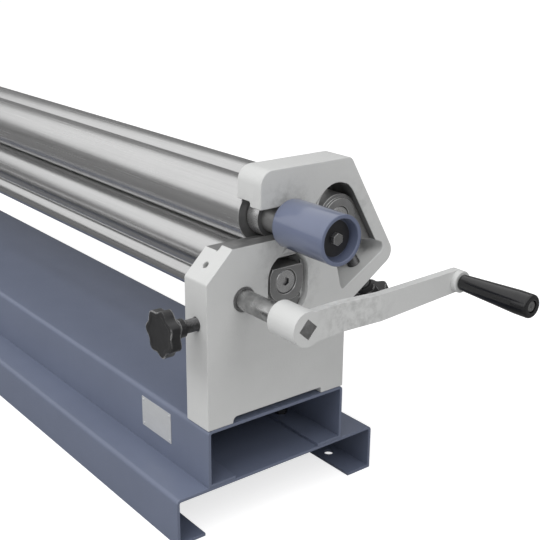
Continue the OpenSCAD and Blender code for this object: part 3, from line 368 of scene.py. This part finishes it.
def paint(name, colour, roughness, grain_size, grain_depth, coat=0.0, wear=0.3, contrast=0.08,
          oily=()):
    """Sprayed paint: faint clouds, an orange peel unless its depth is 0, edges rubbed dark
    unless wear is 0, and smudges round the axes of the joints in oily."""
    material, tree, inputs = start_material(name, roughness, Coat_Weight=coat,
                                            Coat_Roughness=0.12)
    mottle = place_group(tree, "Mottle", Cloud_size=0.045, Grain_size=grain_size,
                         Contrast=contrast)
    painted = toned(tree, colour, mottle["Tone"])
    dark = opaque([RUBBED * part for part in colour])
    if wear:
        edges = place_group(tree, "Worn edges", Width=0.0012, Patch_size=0.012, Amount=wear)
        painted = mix_colour(tree, edges["Mask"], painted, dark)
    if oily:
        painted = mix_colour(tree, oil_smudges(tree, oily), painted, dark)
    feed(tree, inputs["Base Color"], painted)
    if grain_depth:
        feed(tree, inputs["Roughness"],
             map_range(tree, mottle["Grain"], 0.3, 0.7, roughness - 0.04, roughness + 0.05))
        rough_surface(tree, inputs, mottle["Grain"], grain_depth)
    return material


def casting_paint():
    """Light grey paint over a coarse casting, smudged round the rolls' openings."""
    return paint("casting_paint", colours().casting, 0.42, 0.0026, 0.00016, wear=0.25,
                 contrast=0.10, oily=("rear_roll_spin", "upper_roll_spin", "lower_roll_spin"))


def base_paint():
    """Slate blue paint on folded sheet."""
    return paint("base_paint", colours().base, 0.40, 0.0014, 0.00007, coat=0.12, wear=0.2,
                 contrast=0.14)


def sleeve_paint():
    """Smooth, glossy slate blue paint."""
    return paint("sleeve_paint", colours().sleeve, 0.28, 0.004, 0.0, coat=0.8, wear=0.0,
                 contrast=0.10)


def ground_steel():
    """Ground rolls: fine rings, faint lengthwise streaks, and a little handling haze."""
    material, tree, inputs = start_material("ground_steel", 0.25, 1.0)
    turned = place_group(tree, "Turned about X", Rings_per_metre=700.0, Streak_size=0.003,
                         Contrast=0.26)
    haze = place_group(tree, "Mottle", Cloud_size=0.08, Grain_size=0.004, Contrast=0.10)
    tone = math_node(tree, "MULTIPLY", turned["Tone"], haze["Tone"])
    feed(tree, inputs["Base Color"], toned(tree, colours().ground, tone))
    feed(tree, inputs["Roughness"], map_range(tree, turned["Streaks"], 0.3, 0.7, 0.23, 0.28))
    rough_surface(tree, inputs, turned["Streaks"], 0.000012)
    return material


def shaft_steel():
    """Smooth drawn bar, with blotches of oil and thin rust where it leaves the frame."""
    material, tree, inputs = start_material("shaft_steel", 0.26, 1.0)
    drawn = place_group(tree, "Turned about X", Rings_per_metre=300.0, Streak_size=0.003,
                        Contrast=0.30)
    blotch = place_group(tree, "Mottle", Cloud_size=0.014, Grain_size=0.002, Contrast=1.0)
    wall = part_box("right_frame")[1].x
    across = add_node(tree, "ShaderNodeSeparateXYZ")
    tree.links.new(scaled_coordinates(tree, (1.0, 1.0, 1.0)), across.inputs[0])
    handled = map_range(tree, across.outputs["X"], wall - 20 * MM, wall, 0.0, 1.0)
    share = math_node(tree, "MULTIPLY", handled,
                      map_range(tree, blotch["Tone"], 0.85, 1.15, 0.1, 0.8))
    dull = opaque([0.45 * part for part in colours().shaft])
    clean = toned(tree, colours().shaft, drawn["Tone"])
    feed(tree, inputs["Base Color"], mix_colour(tree, share, clean, dull))
    feed(tree, inputs["Roughness"], map_range(tree, share, 0.0, 0.8, 0.20, 0.42))
    rough_surface(tree, inputs, blotch["Grain"], 0.00003, share)
    return material


def bar_steel():
    """Drawn bar: blotches of thin rust and oil on grey steel."""
    material, tree, inputs = start_material("bar_steel", 0.36, 1.0)
    rings = place_group(tree, "Turned about X", Rings_per_metre=500.0, Streak_size=0.004,
                        Contrast=0.35)
    blotch = place_group(tree, "Mottle", Cloud_size=0.018, Grain_size=0.002, Contrast=1.0)
    share = map_range(tree, blotch["Tone"], 0.9, 1.12, 0.0, 0.75)
    dull = opaque([0.42 * part for part in colours().bar])
    clean = toned(tree, colours().bar, rings["Tone"])
    feed(tree, inputs["Base Color"], mix_colour(tree, share, clean, dull))
    feed(tree, inputs["Roughness"], map_range(tree, share, 0.0, 0.75, 0.28, 0.5))
    rough_surface(tree, inputs, blotch["Grain"], 0.00004)
    return material


def machined_steel(name, colour, roughness, wear=0.5, metallic=0.9):
    """Dark machined steel with oil haze, and edges lightened partly as worn steel and partly as a
    painted highlight.
    """
    material, tree, inputs = start_material(name, roughness, metallic)
    mottle = place_group(tree, "Mottle", Cloud_size=0.012, Grain_size=0.0009, Contrast=0.5)
    edges = place_group(tree, "Worn edges", Width=0.0006, Patch_size=0.006, Amount=wear)
    # Edge colour: partly worn bright steel, partly a painted highlight along the edges
    worn_and_highlit = opaque([min(1.0, 2.4 * part + 0.06) for part in colour])
    feed(tree, inputs["Base Color"],
         mix_colour(tree, edges["Mask"], toned(tree, colour, mottle["Tone"]), worn_and_highlit))
    feed(tree, inputs["Roughness"],
         map_range(tree, mottle["Grain"], 0.3, 0.7, roughness - 0.06, roughness + 0.08))
    rough_surface(tree, inputs, mottle["Grain"], 0.00003)
    return material


def bearing_steel():
    """Oiled blocks, collars, claws and journals."""
    return machined_steel("bearing_steel", colours().bearing, 0.42, wear=0.9, metallic=0.6)


def turned_steel():
    """Bright turned heads, rings and bevels."""
    return machined_steel("turned_steel", colours().turned, 0.30, wear=0.9)


def dull_steel():
    """Faced ends of rolls, rings and bolts."""
    return machined_steel("dull_steel", colours().milled, 0.46, wear=0.4, metallic=0.7)


def milled_iron():
    """Bare milled faces of a casting: dark, lightly oiled, streaked along the cut."""
    material, tree, inputs = start_material("milled_iron", 0.42, 0.7)
    streaks = noise(tree, scaled_coordinates(tree, (900.0, 30.0, 900.0)), 1.0, 3.0, 0.6)
    mottle = place_group(tree, "Mottle", Cloud_size=0.02, Grain_size=0.001, Contrast=0.5)
    tone = math_node(tree, "MULTIPLY", mottle["Tone"],
                     map_range(tree, streaks, 0.3, 0.7, 0.7, 1.25))
    feed(tree, inputs["Base Color"], toned(tree, colours().milled, tone))
    feed(tree, inputs["Roughness"], map_range(tree, streaks, 0.3, 0.7, 0.34, 0.52))
    rough_surface(tree, inputs, streaks, 0.00002)
    return material


def gear_steel():
    """Cut and greased teeth."""
    return machined_steel("gear_steel", colours().gear, 0.40)


def screw_steel():
    """Blackened screws, bolts, nuts and washers."""
    return machined_steel("screw_steel", colours().screw, 0.38, wear=0.7)


def stud_steel():
    """Dark oiled thread whose crests are lightened partly by wear and partly as a painted
    highlight.
    """
    return machined_steel("stud_steel", colours().stud, 0.34, wear=0.9)


def bronze():
    """Turned bearing bushes."""
    return machined_steel("bronze", colours().bronze, 0.32, wear=0.2, metallic=1.0)


def plate_metal():
    """Plain plate, brushed along its length, with dull spots."""
    material, tree, inputs = start_material("plate_metal", 0.38, 0.25)
    brushed = noise(tree, scaled_coordinates(tree, (30.0, 2500.0, 2500.0)), 1.0, 3.0, 0.6)
    mottle = place_group(tree, "Mottle", Cloud_size=0.02, Grain_size=0.001, Contrast=0.12)
    tone = math_node(tree, "MULTIPLY", mottle["Tone"],
                     map_range(tree, brushed, 0.3, 0.7, 0.93, 1.04))
    feed(tree, inputs["Base Color"], toned(tree, colours().plate, tone))
    feed(tree, inputs["Roughness"], map_range(tree, brushed, 0.3, 0.7, 0.33, 0.46))
    rough_surface(tree, inputs, brushed, 0.00001)
    return material


def moulded(name, colour, roughness, grain_size, grain_depth, wear, coat=0.0):
    """Moulded black plastic with a fine grain, and greyer edges that are partly rubbed wear and
    partly a painted highlight.
    """
    material, tree, inputs = start_material(name, roughness, Coat_Weight=coat,
                                            Coat_Roughness=0.1, Specular_IOR_Level=0.3)
    mottle = place_group(tree, "Mottle", Cloud_size=0.02, Grain_size=grain_size, Contrast=0.35)
    edges = place_group(tree, "Worn edges", Width=0.0022, Patch_size=0.035, Amount=wear)
    # Greyer edges: partly rubbed wear, partly a painted highlight
    rubbed_and_highlit = opaque([0.55 + part for part in colour])
    feed(tree, inputs["Base Color"],
         mix_colour(tree, edges["Mask"], toned(tree, colour, mottle["Tone"]), rubbed_and_highlit))
    feed(tree, inputs["Roughness"],
         map_range(tree, mottle["Grain"], 0.3, 0.7, roughness - 0.05, roughness + 0.07))
    rough_surface(tree, inputs, mottle["Grain"], grain_depth)
    return material


def knob_plastic():
    """Black star knobs with a rim lightened partly by rubbing and partly as a painted highlight.
    """
    return moulded("knob_plastic", colours().knob, 0.36, 0.0008, 0.00004, wear=2.0, coat=0.3)


def grip_plastic():
    """Smooth glossy black grip."""
    return moulded("grip_plastic", colours().grip, 0.20, 0.003, 0.00002, wear=0.15, coat=0.6)


MATERIAL_MAKERS = {
    maker.__name__: maker
    for maker in (casting_paint, base_paint, sleeve_paint, ground_steel, shaft_steel, bar_steel,
                  bearing_steel, turned_steel, dull_steel, milled_iron, gear_steel, screw_steel,
                  stud_steel, bronze, plate_metal, knob_plastic, grip_plastic)
}


def finish_of(name):
    """The material of that finish, made the first time it is asked for."""
    return bpy.data.materials.get(finish_name(name)) or MATERIAL_MAKERS[name]()


def dress(piece, finish):
    """One finish all over a piece or a CAD node."""
    piece.data.materials.clear()
    piece.data.materials.append(finish_of(finish))


def dress_faces(node, finishes, choose):
    """Several finishes on a CAD node: choose(centre, normal) gives a face's place in the list."""
    mesh = NODES[node].data
    mesh.materials.clear()
    for finish in finishes:
        mesh.materials.append(finish_of(finish))
    mesh.polygons.foreach_set("material_index",
                              [choose(face.center, face.normal) for face in mesh.polygons])


def flat_end(centre, normal):
    """1 on the flat ends of a turned piece, which take a darker finish so that its bevel stands
    out as a bright ring, a painted highlight.
    """
    return int(abs(normal.x) > 0.95)


def axis_of(joint):
    """A point on a joint's axis."""
    return Vector(JOINTS[joint]["pos_m"])


# Mesh helpers

def soften(node, width, segments=3, angle=math.radians(38), clamp=False, edge_highlight_finish=None):
    """Rounds a CAD node's edges with modifiers, and leaves its own vertices as they are. The
    rounding takes the finish beside it, or a brighter edge finish where one is given, which paints
    a highlight along the edges as well as worn bright steel."""
    mesh = NODES[node].data
    if "custom_normal" in mesh.attributes:
        mesh.attributes.remove(mesh.attributes["custom_normal"])
    mesh.polygons.foreach_set("use_smooth", [True] * len(mesh.polygons))
    weld = NODES[node].modifiers.new("weld", "WELD")
    weld.merge_threshold = 0.002 * MM
    flat = NODES[node].modifiers.new("flat", "DECIMATE")
    flat.decimate_type = "DISSOLVE"
    flat.angle_limit = math.radians(0.4)
    flat.delimit = {"MATERIAL"}
    edge = NODES[node].modifiers.new("edge", "BEVEL")
    edge.width = width
    edge.segments = segments
    edge.limit_method = "ANGLE"
    edge.angle_limit = angle
    edge.use_clamp_overlap = clamp
    edge.harden_normals = True
    edge.miter_outer = "MITER_ARC"
    # A brighter finish on the rounding: partly worn steel, partly a painted highlight
    if edge_highlight_finish:
        mesh.materials.append(finish_of(edge_highlight_finish))
        edge.material = len(mesh.materials) - 1


def new_piece(name, vertices, faces, finish, smooth_angle=math.radians(35)):
    """A mesh piece with one finish, smooth where it is round and sharp at its corners."""
    mesh = bpy.data.meshes.new(name)
    mesh.from_pydata(vertices, [], faces)
    mesh.validate()
    mesh.polygons.foreach_set("use_smooth", [True] * len(mesh.polygons))
    mesh.set_sharp_from_angle(angle=smooth_angle)
    piece = bpy.data.objects.new(name, mesh)
    bpy.context.scene.collection.objects.link(piece)
    dress(piece, finish)
    return piece


def axis_frame(joint_name):
    """A knob's or a stud's own frame: +z away from the rolls, along its axis."""
    joint = JOINTS[joint_name]
    along = -Vector(joint["axis"]).normalized()
    across = Vector((1.0, 0.0, 0.0))
    up = along.cross(across)
    turn = Matrix((across, up, along)).transposed().to_4x4()
    return Matrix.Translation(Vector(joint["pos_m"])) @ turn


def reach_along(node, own_frame):
    """Lowest and highest place of a node's points along the frame's z, and the largest radius."""
    back = own_frame.inverted()
    points = [back @ vertex.co for vertex in NODES[node].data.vertices]
    return (min(p.z for p in points), max(p.z for p in points),
            max(math.hypot(p.x, p.y) for p in points))


def lathe(own_frame, rings, columns, radius_of):
    """Closed skin through rings (place along z, radius), shaped by radius_of(radius, z, angle)."""
    vertices = []
    for z, radius in rings:
        for column in range(columns):
            angle = FULL_TURN * column / columns
            reach = radius_of(radius, z, angle)
            vertices.append(own_frame @ Vector((reach * math.cos(angle),
                                                reach * math.sin(angle), z)))
    vertices.append(own_frame @ Vector((0, 0, rings[0][0])))
    vertices.append(own_frame @ Vector((0, 0, rings[-1][0])))
    low, high = len(vertices) - 2, len(vertices) - 1
    last = (len(rings) - 1) * columns
    faces = []
    for column in range(columns):
        after = (column + 1) % columns
        faces.append((low, after, column))
        faces.append((high, last + column, last + after))
        for ring in range(len(rings) - 1):
            row = ring * columns
            faces.append((row + column, row + after, row + columns + after,
                          row + columns + column))
    return vertices, faces


def as_given(radius, z, angle):
    """The rings' own radii, for lathe."""
    return radius


def round_rim(z, radius, rounding, steps, upward):
    """Rings of a quarter round, from a cylinder of that radius onto its end face at z."""
    rings = []
    for step in range(steps + 1):
        turn = math.pi / 2 * step / steps
        inset = rounding * (1 - math.cos(turn))
        drop = rounding * (1 - math.sin(turn))
        rings.append((z - drop if upward else z + drop, radius - inset))
    return rings if upward else rings[::-1]


# The pieces

class MachineOperator:
    """What every operator here shares."""

    bl_options = {"REGISTER", "UNDO"}


class SLIPROLL_OT_castings(MachineOperator, Operator):
    """Paint the end frames and the gear cover, and leave the frames' milled ways bare"""

    bl_idname = "slip_roll.castings"
    bl_label = "Castings"

    def execute(self, context):
        for node in ("right_frame", "left_frame"):
            soften(node, sizes().casting_edge)
            dress_faces(node, ("casting_paint", "milled_iron"), self.milled)
        soften("gear_cover", sizes().cover_edge, clamp=True)
        dress(NODES["gear_cover"], "casting_paint")
        return {"FINISHED"}

    def milled(self, centre, normal):
        """1 on the upper roll's mouth and on the rear block's slideway, and else 0."""
        if abs(normal.x) > 0.2:
            return 0
        seat = 27 * MM              # radius of the mouth's round end
        slot_half = 33 * MM         # half the slideway's width, with its corner rounding
        slot_reach = 60 * MM        # top of the slideway above the rear roll's axis
        from_roll = centre - axis_of("upper_roll_spin")
        in_seat = math.hypot(from_roll.y, from_roll.z) < seat
        in_mouth = abs(normal.z) > 0.9 and abs(from_roll.z) < seat and from_roll.y < 0
        slide = Vector(JOINTS["rear_roll_adjust"]["axis"]).normalized()
        from_rear = centre - axis_of("rear_roll_spin")
        along = from_rear.dot(slide)
        across = abs(from_rear.y * slide.z - from_rear.z * slide.y)
        beside = across < slot_half and along < slot_reach
        in_slot = beside and abs(normal.dot(slide)) < 0.5
        return int(in_seat or in_mouth or in_slot)


class SLIPROLL_OT_base(MachineOperator, Operator):
    """Paint the beam and the base, and rivet the blank plate"""

    bl_idname = "slip_roll.base"
    bl_label = "Base and beam"

    def execute(self, context):
        for node in ("lower_base", "base_beam"):
            soften(node, sizes().sheet_edge, segments=2)
            dress(NODES[node], "base_paint")
        for node in ("frame_bolts", "base_bolts", "base_nuts"):
            dress(NODES[node], "screw_steel")
        dress(NODES["blank_plate"], "plate_metal")
        self.rivets()
        return {"FINISHED"}

    def rivets(self):
        """A domed rivet in each corner of the plate."""
        low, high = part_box("blank_plate")
        radius = sizes().rivet_radius
        inset = 2.2 * radius
        dome = 0.5 * radius
        for number, (x, z) in enumerate((x, z) for x in (low.x + inset, high.x - inset)
                                        for z in (low.z + inset, high.z - inset)):
            own = Matrix.Translation((x, low.y, z)) @ Matrix.Rotation(math.pi / 2, 4, "X")
            rings = [(dome * math.sin(turn), radius * math.cos(turn))
                     for turn in (math.radians(step) for step in (0, 20, 40, 60, 80))]
            piece = new_piece(f"plate_rivet_{number + 1}",
                              *lathe(own, rings, 24, as_given), "plate_metal")
            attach(piece, "base")


class SLIPROLL_OT_rolls(MachineOperator, Operator):
    """Finish the three ground rolls and the ring on the upper one"""

    bl_idname = "slip_roll.rolls"
    bl_label = "Rolls"

    def execute(self, context):
        for node in ("upper_roll", "lower_roll", "rear_roll"):
            self.roll(node, axis_of(f"{node}_spin"))
        # The ring's end face toward +X takes the dull finish as painted shade of the groove beside
        # the journal
        dress_faces("end_bush", ("turned_steel", "dull_steel"),
                    lambda centre, normal: int(normal.x > 0.9))
        return {"FINISHED"}

    def roll(self, node, axis):
        """A ground barrel with a light rim, dull ends, and oiled journals."""
        reach = max((vertex.co - axis).yz.length for vertex in NODES[node].data.vertices)

        def part(centre, normal):
            """0 on the barrel, 1 on flat ends, and 2 on the journals."""
            if abs(normal.x) > 0.9:
                return 1
            return 0 if (centre - axis).yz.length > 0.9 * reach else 2

        dress_faces(node, ("ground_steel", "dull_steel", "bearing_steel"), part)


class SLIPROLL_OT_bearings(MachineOperator, Operator):
    """Finish the bearing blocks, wedges, bushes, swivel and end screws"""

    bl_idname = "slip_roll.bearings"
    bl_label = "Bearings"

    def execute(self, context):
        for node in ("lower_block_right", "lower_block_left", "rear_block_right",
                     "rear_block_left", "swivel_block"):
            dress(NODES[node], "bearing_steel")
            # The blocks' bevels take bright turned steel: partly wear, partly a painted highlight
            soften(node, sizes().block_edge, segments=2, edge_highlight_finish="turned_steel")
        for node in ("lower_wedge_right", "lower_wedge_left"):
            dress(NODES[node], "bar_steel")
        for node in ("lower_bushes", "rear_bushes", "swivel_bush", "cover_bush", "idler_bush"):
            dress(NODES[node], "bronze")
        # Dark flat ends and a bright bevel: the bevel's ring is a painted highlight
        dress_faces("shaft_bushes", ("turned_steel", "dull_steel"), flat_end)
        for node, joint in (("lower_end_screw", "lower_roll_spin"),
                            ("rear_end_screws", "rear_roll_spin")):
            self.end_screw(node, axis_of(joint))
        dress(NODES["pivot_pins"], "bar_steel")
        return {"FINISHED"}

    def end_screw(self, node, axis):
        """A turned head whose socket walls are darkened as painted shade."""
        socket = 6 * MM             # a little over the socket's radius

        def in_socket(centre, normal):
            """1 on the socket's walls, which take the dark finish as painted shade."""
            return int(abs(normal.x) < 0.5 and (centre - axis).yz.length < socket)

        dress_faces(node, ("turned_steel", "screw_steel"), in_socket)


class SLIPROLL_OT_gears(MachineOperator, Operator):
    """Finish the gears, the claws and what holds them"""

    bl_idname = "slip_roll.gears"
    bl_label = "Gears"

    def execute(self, context):
        for node in ("drive_pinion", "idler_gear", "upper_gear", "lower_gear"):
            dress(NODES[node], "gear_steel")
        for node in ("idler_pin", "gear_stub", "upper_key", "lower_key", "pinion_key",
                     "pinion_clip"):
            dress(NODES[node], "bar_steel")
        dress(NODES["roll_claw"], "bearing_steel")
        for node in ("gear_end_screw", "cover_screws"):
            dress(NODES[node], "screw_steel")
        return {"FINISHED"}


class SLIPROLL_OT_crank(MachineOperator, Operator):
    """Finish the drive shaft, the crank arm and its grip"""

    bl_idname = "slip_roll.crank"
    bl_label = "Shaft and crank"

    def execute(self, context):
        soften("crank_arm", sizes().crank_edge, clamp=True)
        dress(NODES["crank_arm"], "casting_paint")
        dress(NODES["drive_shaft"], "shaft_steel")
        # Dark flat end and a bright bevel: the bevel's ring is a painted highlight
        dress_faces("grip_screw", ("turned_steel", "dull_steel"), flat_end)
        soften("shaft_collars", sizes().fine_edge, segments=2)
        dress(NODES["shaft_collars"], "bearing_steel")
        dress(NODES["crank_screw"], "screw_steel")
        dress(NODES["crank_grip"], "grip_plastic")
        return {"FINISHED"}


class SLIPROLL_OT_sleeve(MachineOperator, Operator):
    """Finish the release sleeve, its washer and its bolt"""

    bl_idname = "slip_roll.sleeve"
    bl_label = "Release sleeve"

    def execute(self, context):
        soften("release_sleeve", sizes().fine_edge)
        dress(NODES["release_sleeve"], "sleeve_paint")
        dress(NODES["sleeve_washer"], "screw_steel")
        dress(NODES["sleeve_bolt"], "dull_steel")
        # The bolt's bevels take bright turned steel: partly worn steel, partly a painted highlight
        soften("sleeve_bolt", sizes().fine_edge, segments=2, edge_highlight_finish="turned_steel")
        return {"FINISHED"}


class SLIPROLL_OT_knobs(MachineOperator, Operator):
    """Mould the star knobs and cut the threads of their studs"""

    bl_idname = "slip_roll.knobs"
    bl_label = "Star knobs and studs"

    def execute(self, context):
        for place in ("front_knob_right", "front_knob_left", "rear_knob_right", "rear_knob_left"):
            own = axis_frame(f"{place}_turn")
            self.knob(place, own)
            self.stud(place, place.replace("knob", "stud"), own)
        return {"FINISHED"}

    def knob(self, node, own):
        """A star knob: a hub that widens into a lobed head with a rounded rim."""
        low, high, reach = reach_along(node, own)
        hub = low + 18.5 / 32.0 * (high - low)      # where the hub meets the head
        rim = sizes().knob_rim
        lobes = sizes().knob_lobes
        wave = 0.075 * reach                        # half the depth between two lobes
        hub_radius = 0.43 * reach
        root = 0.482 * reach                        # below this radius no lobe shows
        dish = sizes().knob_dish
        face = reach - 2 * wave - rim
        step = low + 0.45 * (hub - low)             # a small step round the hub
        rings = [(low, 0.30 * reach), (low, 0.9 * hub_radius - rim / 2),
                 (low + rim / 2, 0.9 * hub_radius), (step, 0.9 * hub_radius), (step, hub_radius),
                 (hub - 2 * rim, root), (hub, root + rim / 2), (hub, reach - 2.2 * rim)]
        rings += round_rim(hub, reach, rim, 4, upward=False)[1:]
        rings += round_rim(high, reach, rim, 4, upward=True)
        rings += [(high, 0.97 * face), (high - 0.6 * dish, 0.93 * face),
                  (high - dish, 0.85 * face), (high - dish, 0.3 * face)]

        def lobed(radius, z, angle):
            """Pulls the head's skin in between its lobes."""
            share = max(0.0, min(1.0, (radius - root) / (reach - root)))
            return radius - share * wave * (1 + math.cos(lobes * angle))

        piece = new_piece(f"{node}_moulding", *lathe(own, rings, 24 * lobes, lobed),
                          "knob_plastic")
        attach(piece, node)
        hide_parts(node)

    def stud(self, body, node, own):
        """A stud with a button for its slot, a neck, and a cut thread up to the knob."""
        low, high, major = reach_along(node, own)
        pitch = sizes().thread_pitch
        depth = sizes().thread_depth
        button = 0.45 * major                       # height of the button
        neck = 0.6875 * major                       # radius of the neck
        start = low + 1.45 * major                  # where the thread starts
        rings = [(low, 0.94 * major), (low + 0.06 * major, major), (low + button, major),
                 (low + button, neck), (start, neck), (start, major - depth)]
        rows_per_turn = 6
        rows = int((high - start) / pitch * rows_per_turn)
        rings += [(start + (high - start) * row / rows, major) for row in range(1, rows)]
        rings += [(high, major - depth)]

        def threaded(radius, z, angle):
            """A ridge that climbs by one pitch a turn."""
            if radius < major or z <= start:
                return radius
            phase = (z / pitch - angle / FULL_TURN) % 1.0
            ridge = abs(2 * phase - 1)
            return major - depth * min(1.0, max(0.0, 1.25 * ridge - 0.125))

        piece = new_piece(f"{node}_thread", *lathe(own, rings, 36, threaded),
                          "stud_steel", smooth_angle=math.radians(50))
        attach(piece, body)
        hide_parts(node)


class SLIPROLL_OT_stage(MachineOperator, Operator):
    """Set up the floor, the soft light, the cards that the steel reflects, and the camera"""

    bl_idname = "slip_roll.stage"
    bl_label = "Stage"

    # Each light's place, the point that it faces, and its size, in metres
    key_light = ((0.3, -2.2, 2.9), (0.1, 0.0, 0.2), (4.2, 2.2))
    side_light = ((3.0, 0.2, 2.3), (0.6, 0.0, 0.3), (1.6, 1.6))

    def execute(self, context):
        settings = context.scene.slip_roll_stage
        self.floor(settings)
        self.world(context.scene, settings)
        self.soft_light("key_light", *self.key_light, settings.key_power)
        self.soft_light("side_light", *self.side_light, settings.fill_power)
        self.cards(settings)
        self.camera(context.scene, settings)
        context.scene.view_settings.view_transform = "Standard"
        return {"FINISHED"}

    def seen_by_eye_or_gloss(self, tree):
        """1 for the camera's rays and those that a surface mirrors or lets through, so that
        metal shows the background that the eye sees."""
        path = add_node(tree, "ShaderNodeLightPath")
        both = math_node(tree, "MAXIMUM", path.outputs["Is Camera Ray"],
                         path.outputs["Is Glossy Ray"])
        return math_node(tree, "MAXIMUM", both, path.outputs["Is Transmission Ray"])

    def floor(self, settings):
        """A pale floor that glows for the eye and for gloss, and still takes a shadow."""
        half = 40.0
        mesh = bpy.data.meshes.new("floor")
        mesh.from_pydata([(-half, -half, 0), (half, -half, 0), (half, half, 0), (-half, half, 0)],
                         [], [(0, 1, 2, 3)])
        floor = bpy.data.objects.new("floor", mesh)
        bpy.context.scene.collection.objects.link(floor)
        material, tree, inputs = start_material("floor", 0.9)
        cloud = noise(tree, scaled_coordinates(tree, (1.0, 1.0, 1.0)), 3.0, 4.0)
        feed(tree, inputs["Base Color"],
             toned(tree, colours().floor, map_range(tree, cloud, 0.3, 0.7, 0.99, 1.01)))
        inputs["Specular IOR Level"].default_value = 0.1
        shown = self.seen_by_eye_or_gloss(tree)
        inputs["Emission Color"].default_value = (1.0, 1.0, 1.0, 1.0)
        feed(tree, inputs["Emission Strength"],
             math_node(tree, "MULTIPLY", shown, settings.floor_glow))
        mesh.materials.append(material)

    def world(self, scene, settings):
        """Soft light from all round, and plain white for the eye and for gloss."""
        world = bpy.data.worlds.new("studio")
        world.use_nodes = True
        tree = world.node_tree
        background = tree.nodes["Background"]
        background.inputs["Color"].default_value = (1.0, 1.0, 1.0, 1.0)
        shown = self.seen_by_eye_or_gloss(tree)
        strength = map_range(tree, shown, 0.0, 1.0, settings.ambient, 1.0)
        feed(tree, background.inputs["Strength"], strength)
        scene.world = world

    def soft_light(self, name, place, target, size, power):
        """A large area light that faces its target and lights without showing in the steel."""
        light = bpy.data.lights.new(name, "AREA")
        light.shape = "RECTANGLE"
        light.size, light.size_y = size
        light.energy = power
        lamp = bpy.data.objects.new(name, light)
        lamp.location = place
        lamp.rotation_mode = "QUATERNION"
        lamp.rotation_quaternion = (Vector(target) - Vector(place)).to_track_quat("-Z", "Y")
        lamp.visible_glossy = False
        bpy.context.scene.collection.objects.link(lamp)

    def cards(self, settings):
        """A grey mat with a painted shadow that darkens it under the machine, and a grey wall that
        is low
         in front and high behind, seen only in reflections."""
        columns = 48
        near, shadow_tone = 0.3, 0.6          # painted shadow under the machine: its reach in metres from the middle, and its tone there
        radius = settings.card_radius
        rings = [(MM, 10 * MM), (MM, radius), (settings.card_height, radius)]
        vertices, faces = lathe(Matrix.Identity(4), rings, columns, as_given)
        top = len(vertices) - 1
        faces = [face for face in faces if top not in face]
        for vertex in vertices:
            if vertex.z > settings.card_height - MM:
                vertex.z += settings.card_lean * vertex.y / radius
        mesh = bpy.data.meshes.new("reflection_cards")
        mesh.from_pydata(vertices, [], faces)
        cards = bpy.data.objects.new("reflection_cards", mesh)
        bpy.context.scene.collection.objects.link(cards)
        material, tree, inputs = start_material("card", 1.0)
        distance = add_node(tree, "ShaderNodeVectorMath", operation="LENGTH")
        tree.links.new(scaled_coordinates(tree, (1.0, 1.0, 1.0)), distance.inputs[0])
        # Painted shadow: the mat darkens towards the middle, under the machine
        tone = map_range(tree, distance.outputs["Value"], near, radius, shadow_tone, 1.0)
        feed(tree, inputs["Base Color"], toned(tree, [settings.card_grey] * 3, tone))
        inputs["Specular IOR Level"].default_value = 0.0
        mesh.materials.append(material)
        cards.visible_camera = False
        cards.visible_diffuse = False
        cards.visible_shadow = False
        cards.visible_transmission = False

    def camera(self, scene, settings):
        """The photograph's view, without depth of field or shift."""
        data = bpy.data.cameras.new("camera")
        data.sensor_width = 36.0
        data.lens = settings.lens
        data.clip_start = 0.02
        data.clip_end = 200.0
        camera = bpy.data.objects.new("camera", data)
        camera.matrix_world = (
            Matrix.Translation(settings.camera_place)
            @ Matrix.Rotation(settings.camera_heading, 4, "Z")
            @ Matrix.Rotation(math.pi / 2 - settings.camera_pitch, 4, "X")
            @ Matrix.Rotation(settings.camera_roll, 4, "Z"))
        scene.collection.objects.link(camera)
        scene.camera = camera


class SLIPROLL_PT_panel(Panel):
    """Lists the machine's operators, colours and sizes"""

    bl_idname = "SLIPROLL_PT_panel"
    bl_label = "Slip Roll"
    bl_space_type = "VIEW_3D"
    bl_region_type = "UI"
    bl_category = "Slip Roll"

    def draw(self, context):
        for operator in OPERATORS:
            self.layout.operator(operator.bl_idname)
        for group in (context.scene.slip_roll_colours, context.scene.slip_roll_sizes,
                      context.scene.slip_roll_stage):
            column = self.layout.column(align=True)
            for name in group.__annotations__:
                column.prop(group, name)


OPERATORS = (SLIPROLL_OT_castings, SLIPROLL_OT_base, SLIPROLL_OT_rolls, SLIPROLL_OT_bearings,
             SLIPROLL_OT_gears, SLIPROLL_OT_crank, SLIPROLL_OT_sleeve, SLIPROLL_OT_knobs,
             SLIPROLL_OT_stage)
CLASSES = (MachineColours, MachineSizes, StageSettings, *OPERATORS, SLIPROLL_PT_panel)


def register():
    """Adds the classes, and the panel's settings on the scene."""
    for cls in CLASSES:
        bpy.utils.register_class(cls)
    bpy.types.Scene.slip_roll_colours = PointerProperty(type=MachineColours)
    bpy.types.Scene.slip_roll_sizes = PointerProperty(type=MachineSizes)
    bpy.types.Scene.slip_roll_stage = PointerProperty(type=StageSettings)


def unregister():
    """Takes back what register added."""
    del bpy.types.Scene.slip_roll_stage
    del bpy.types.Scene.slip_roll_sizes
    del bpy.types.Scene.slip_roll_colours
    for cls in reversed(CLASSES):
        bpy.utils.unregister_class(cls)


def main():
    """Dresses the whole machine and sets up the stage."""
    register()
    for operator in OPERATORS:
        name = operator.bl_idname.split(".")[1]
        getattr(bpy.ops.slip_roll, name)()


if __name__ == "__main__":
    main()
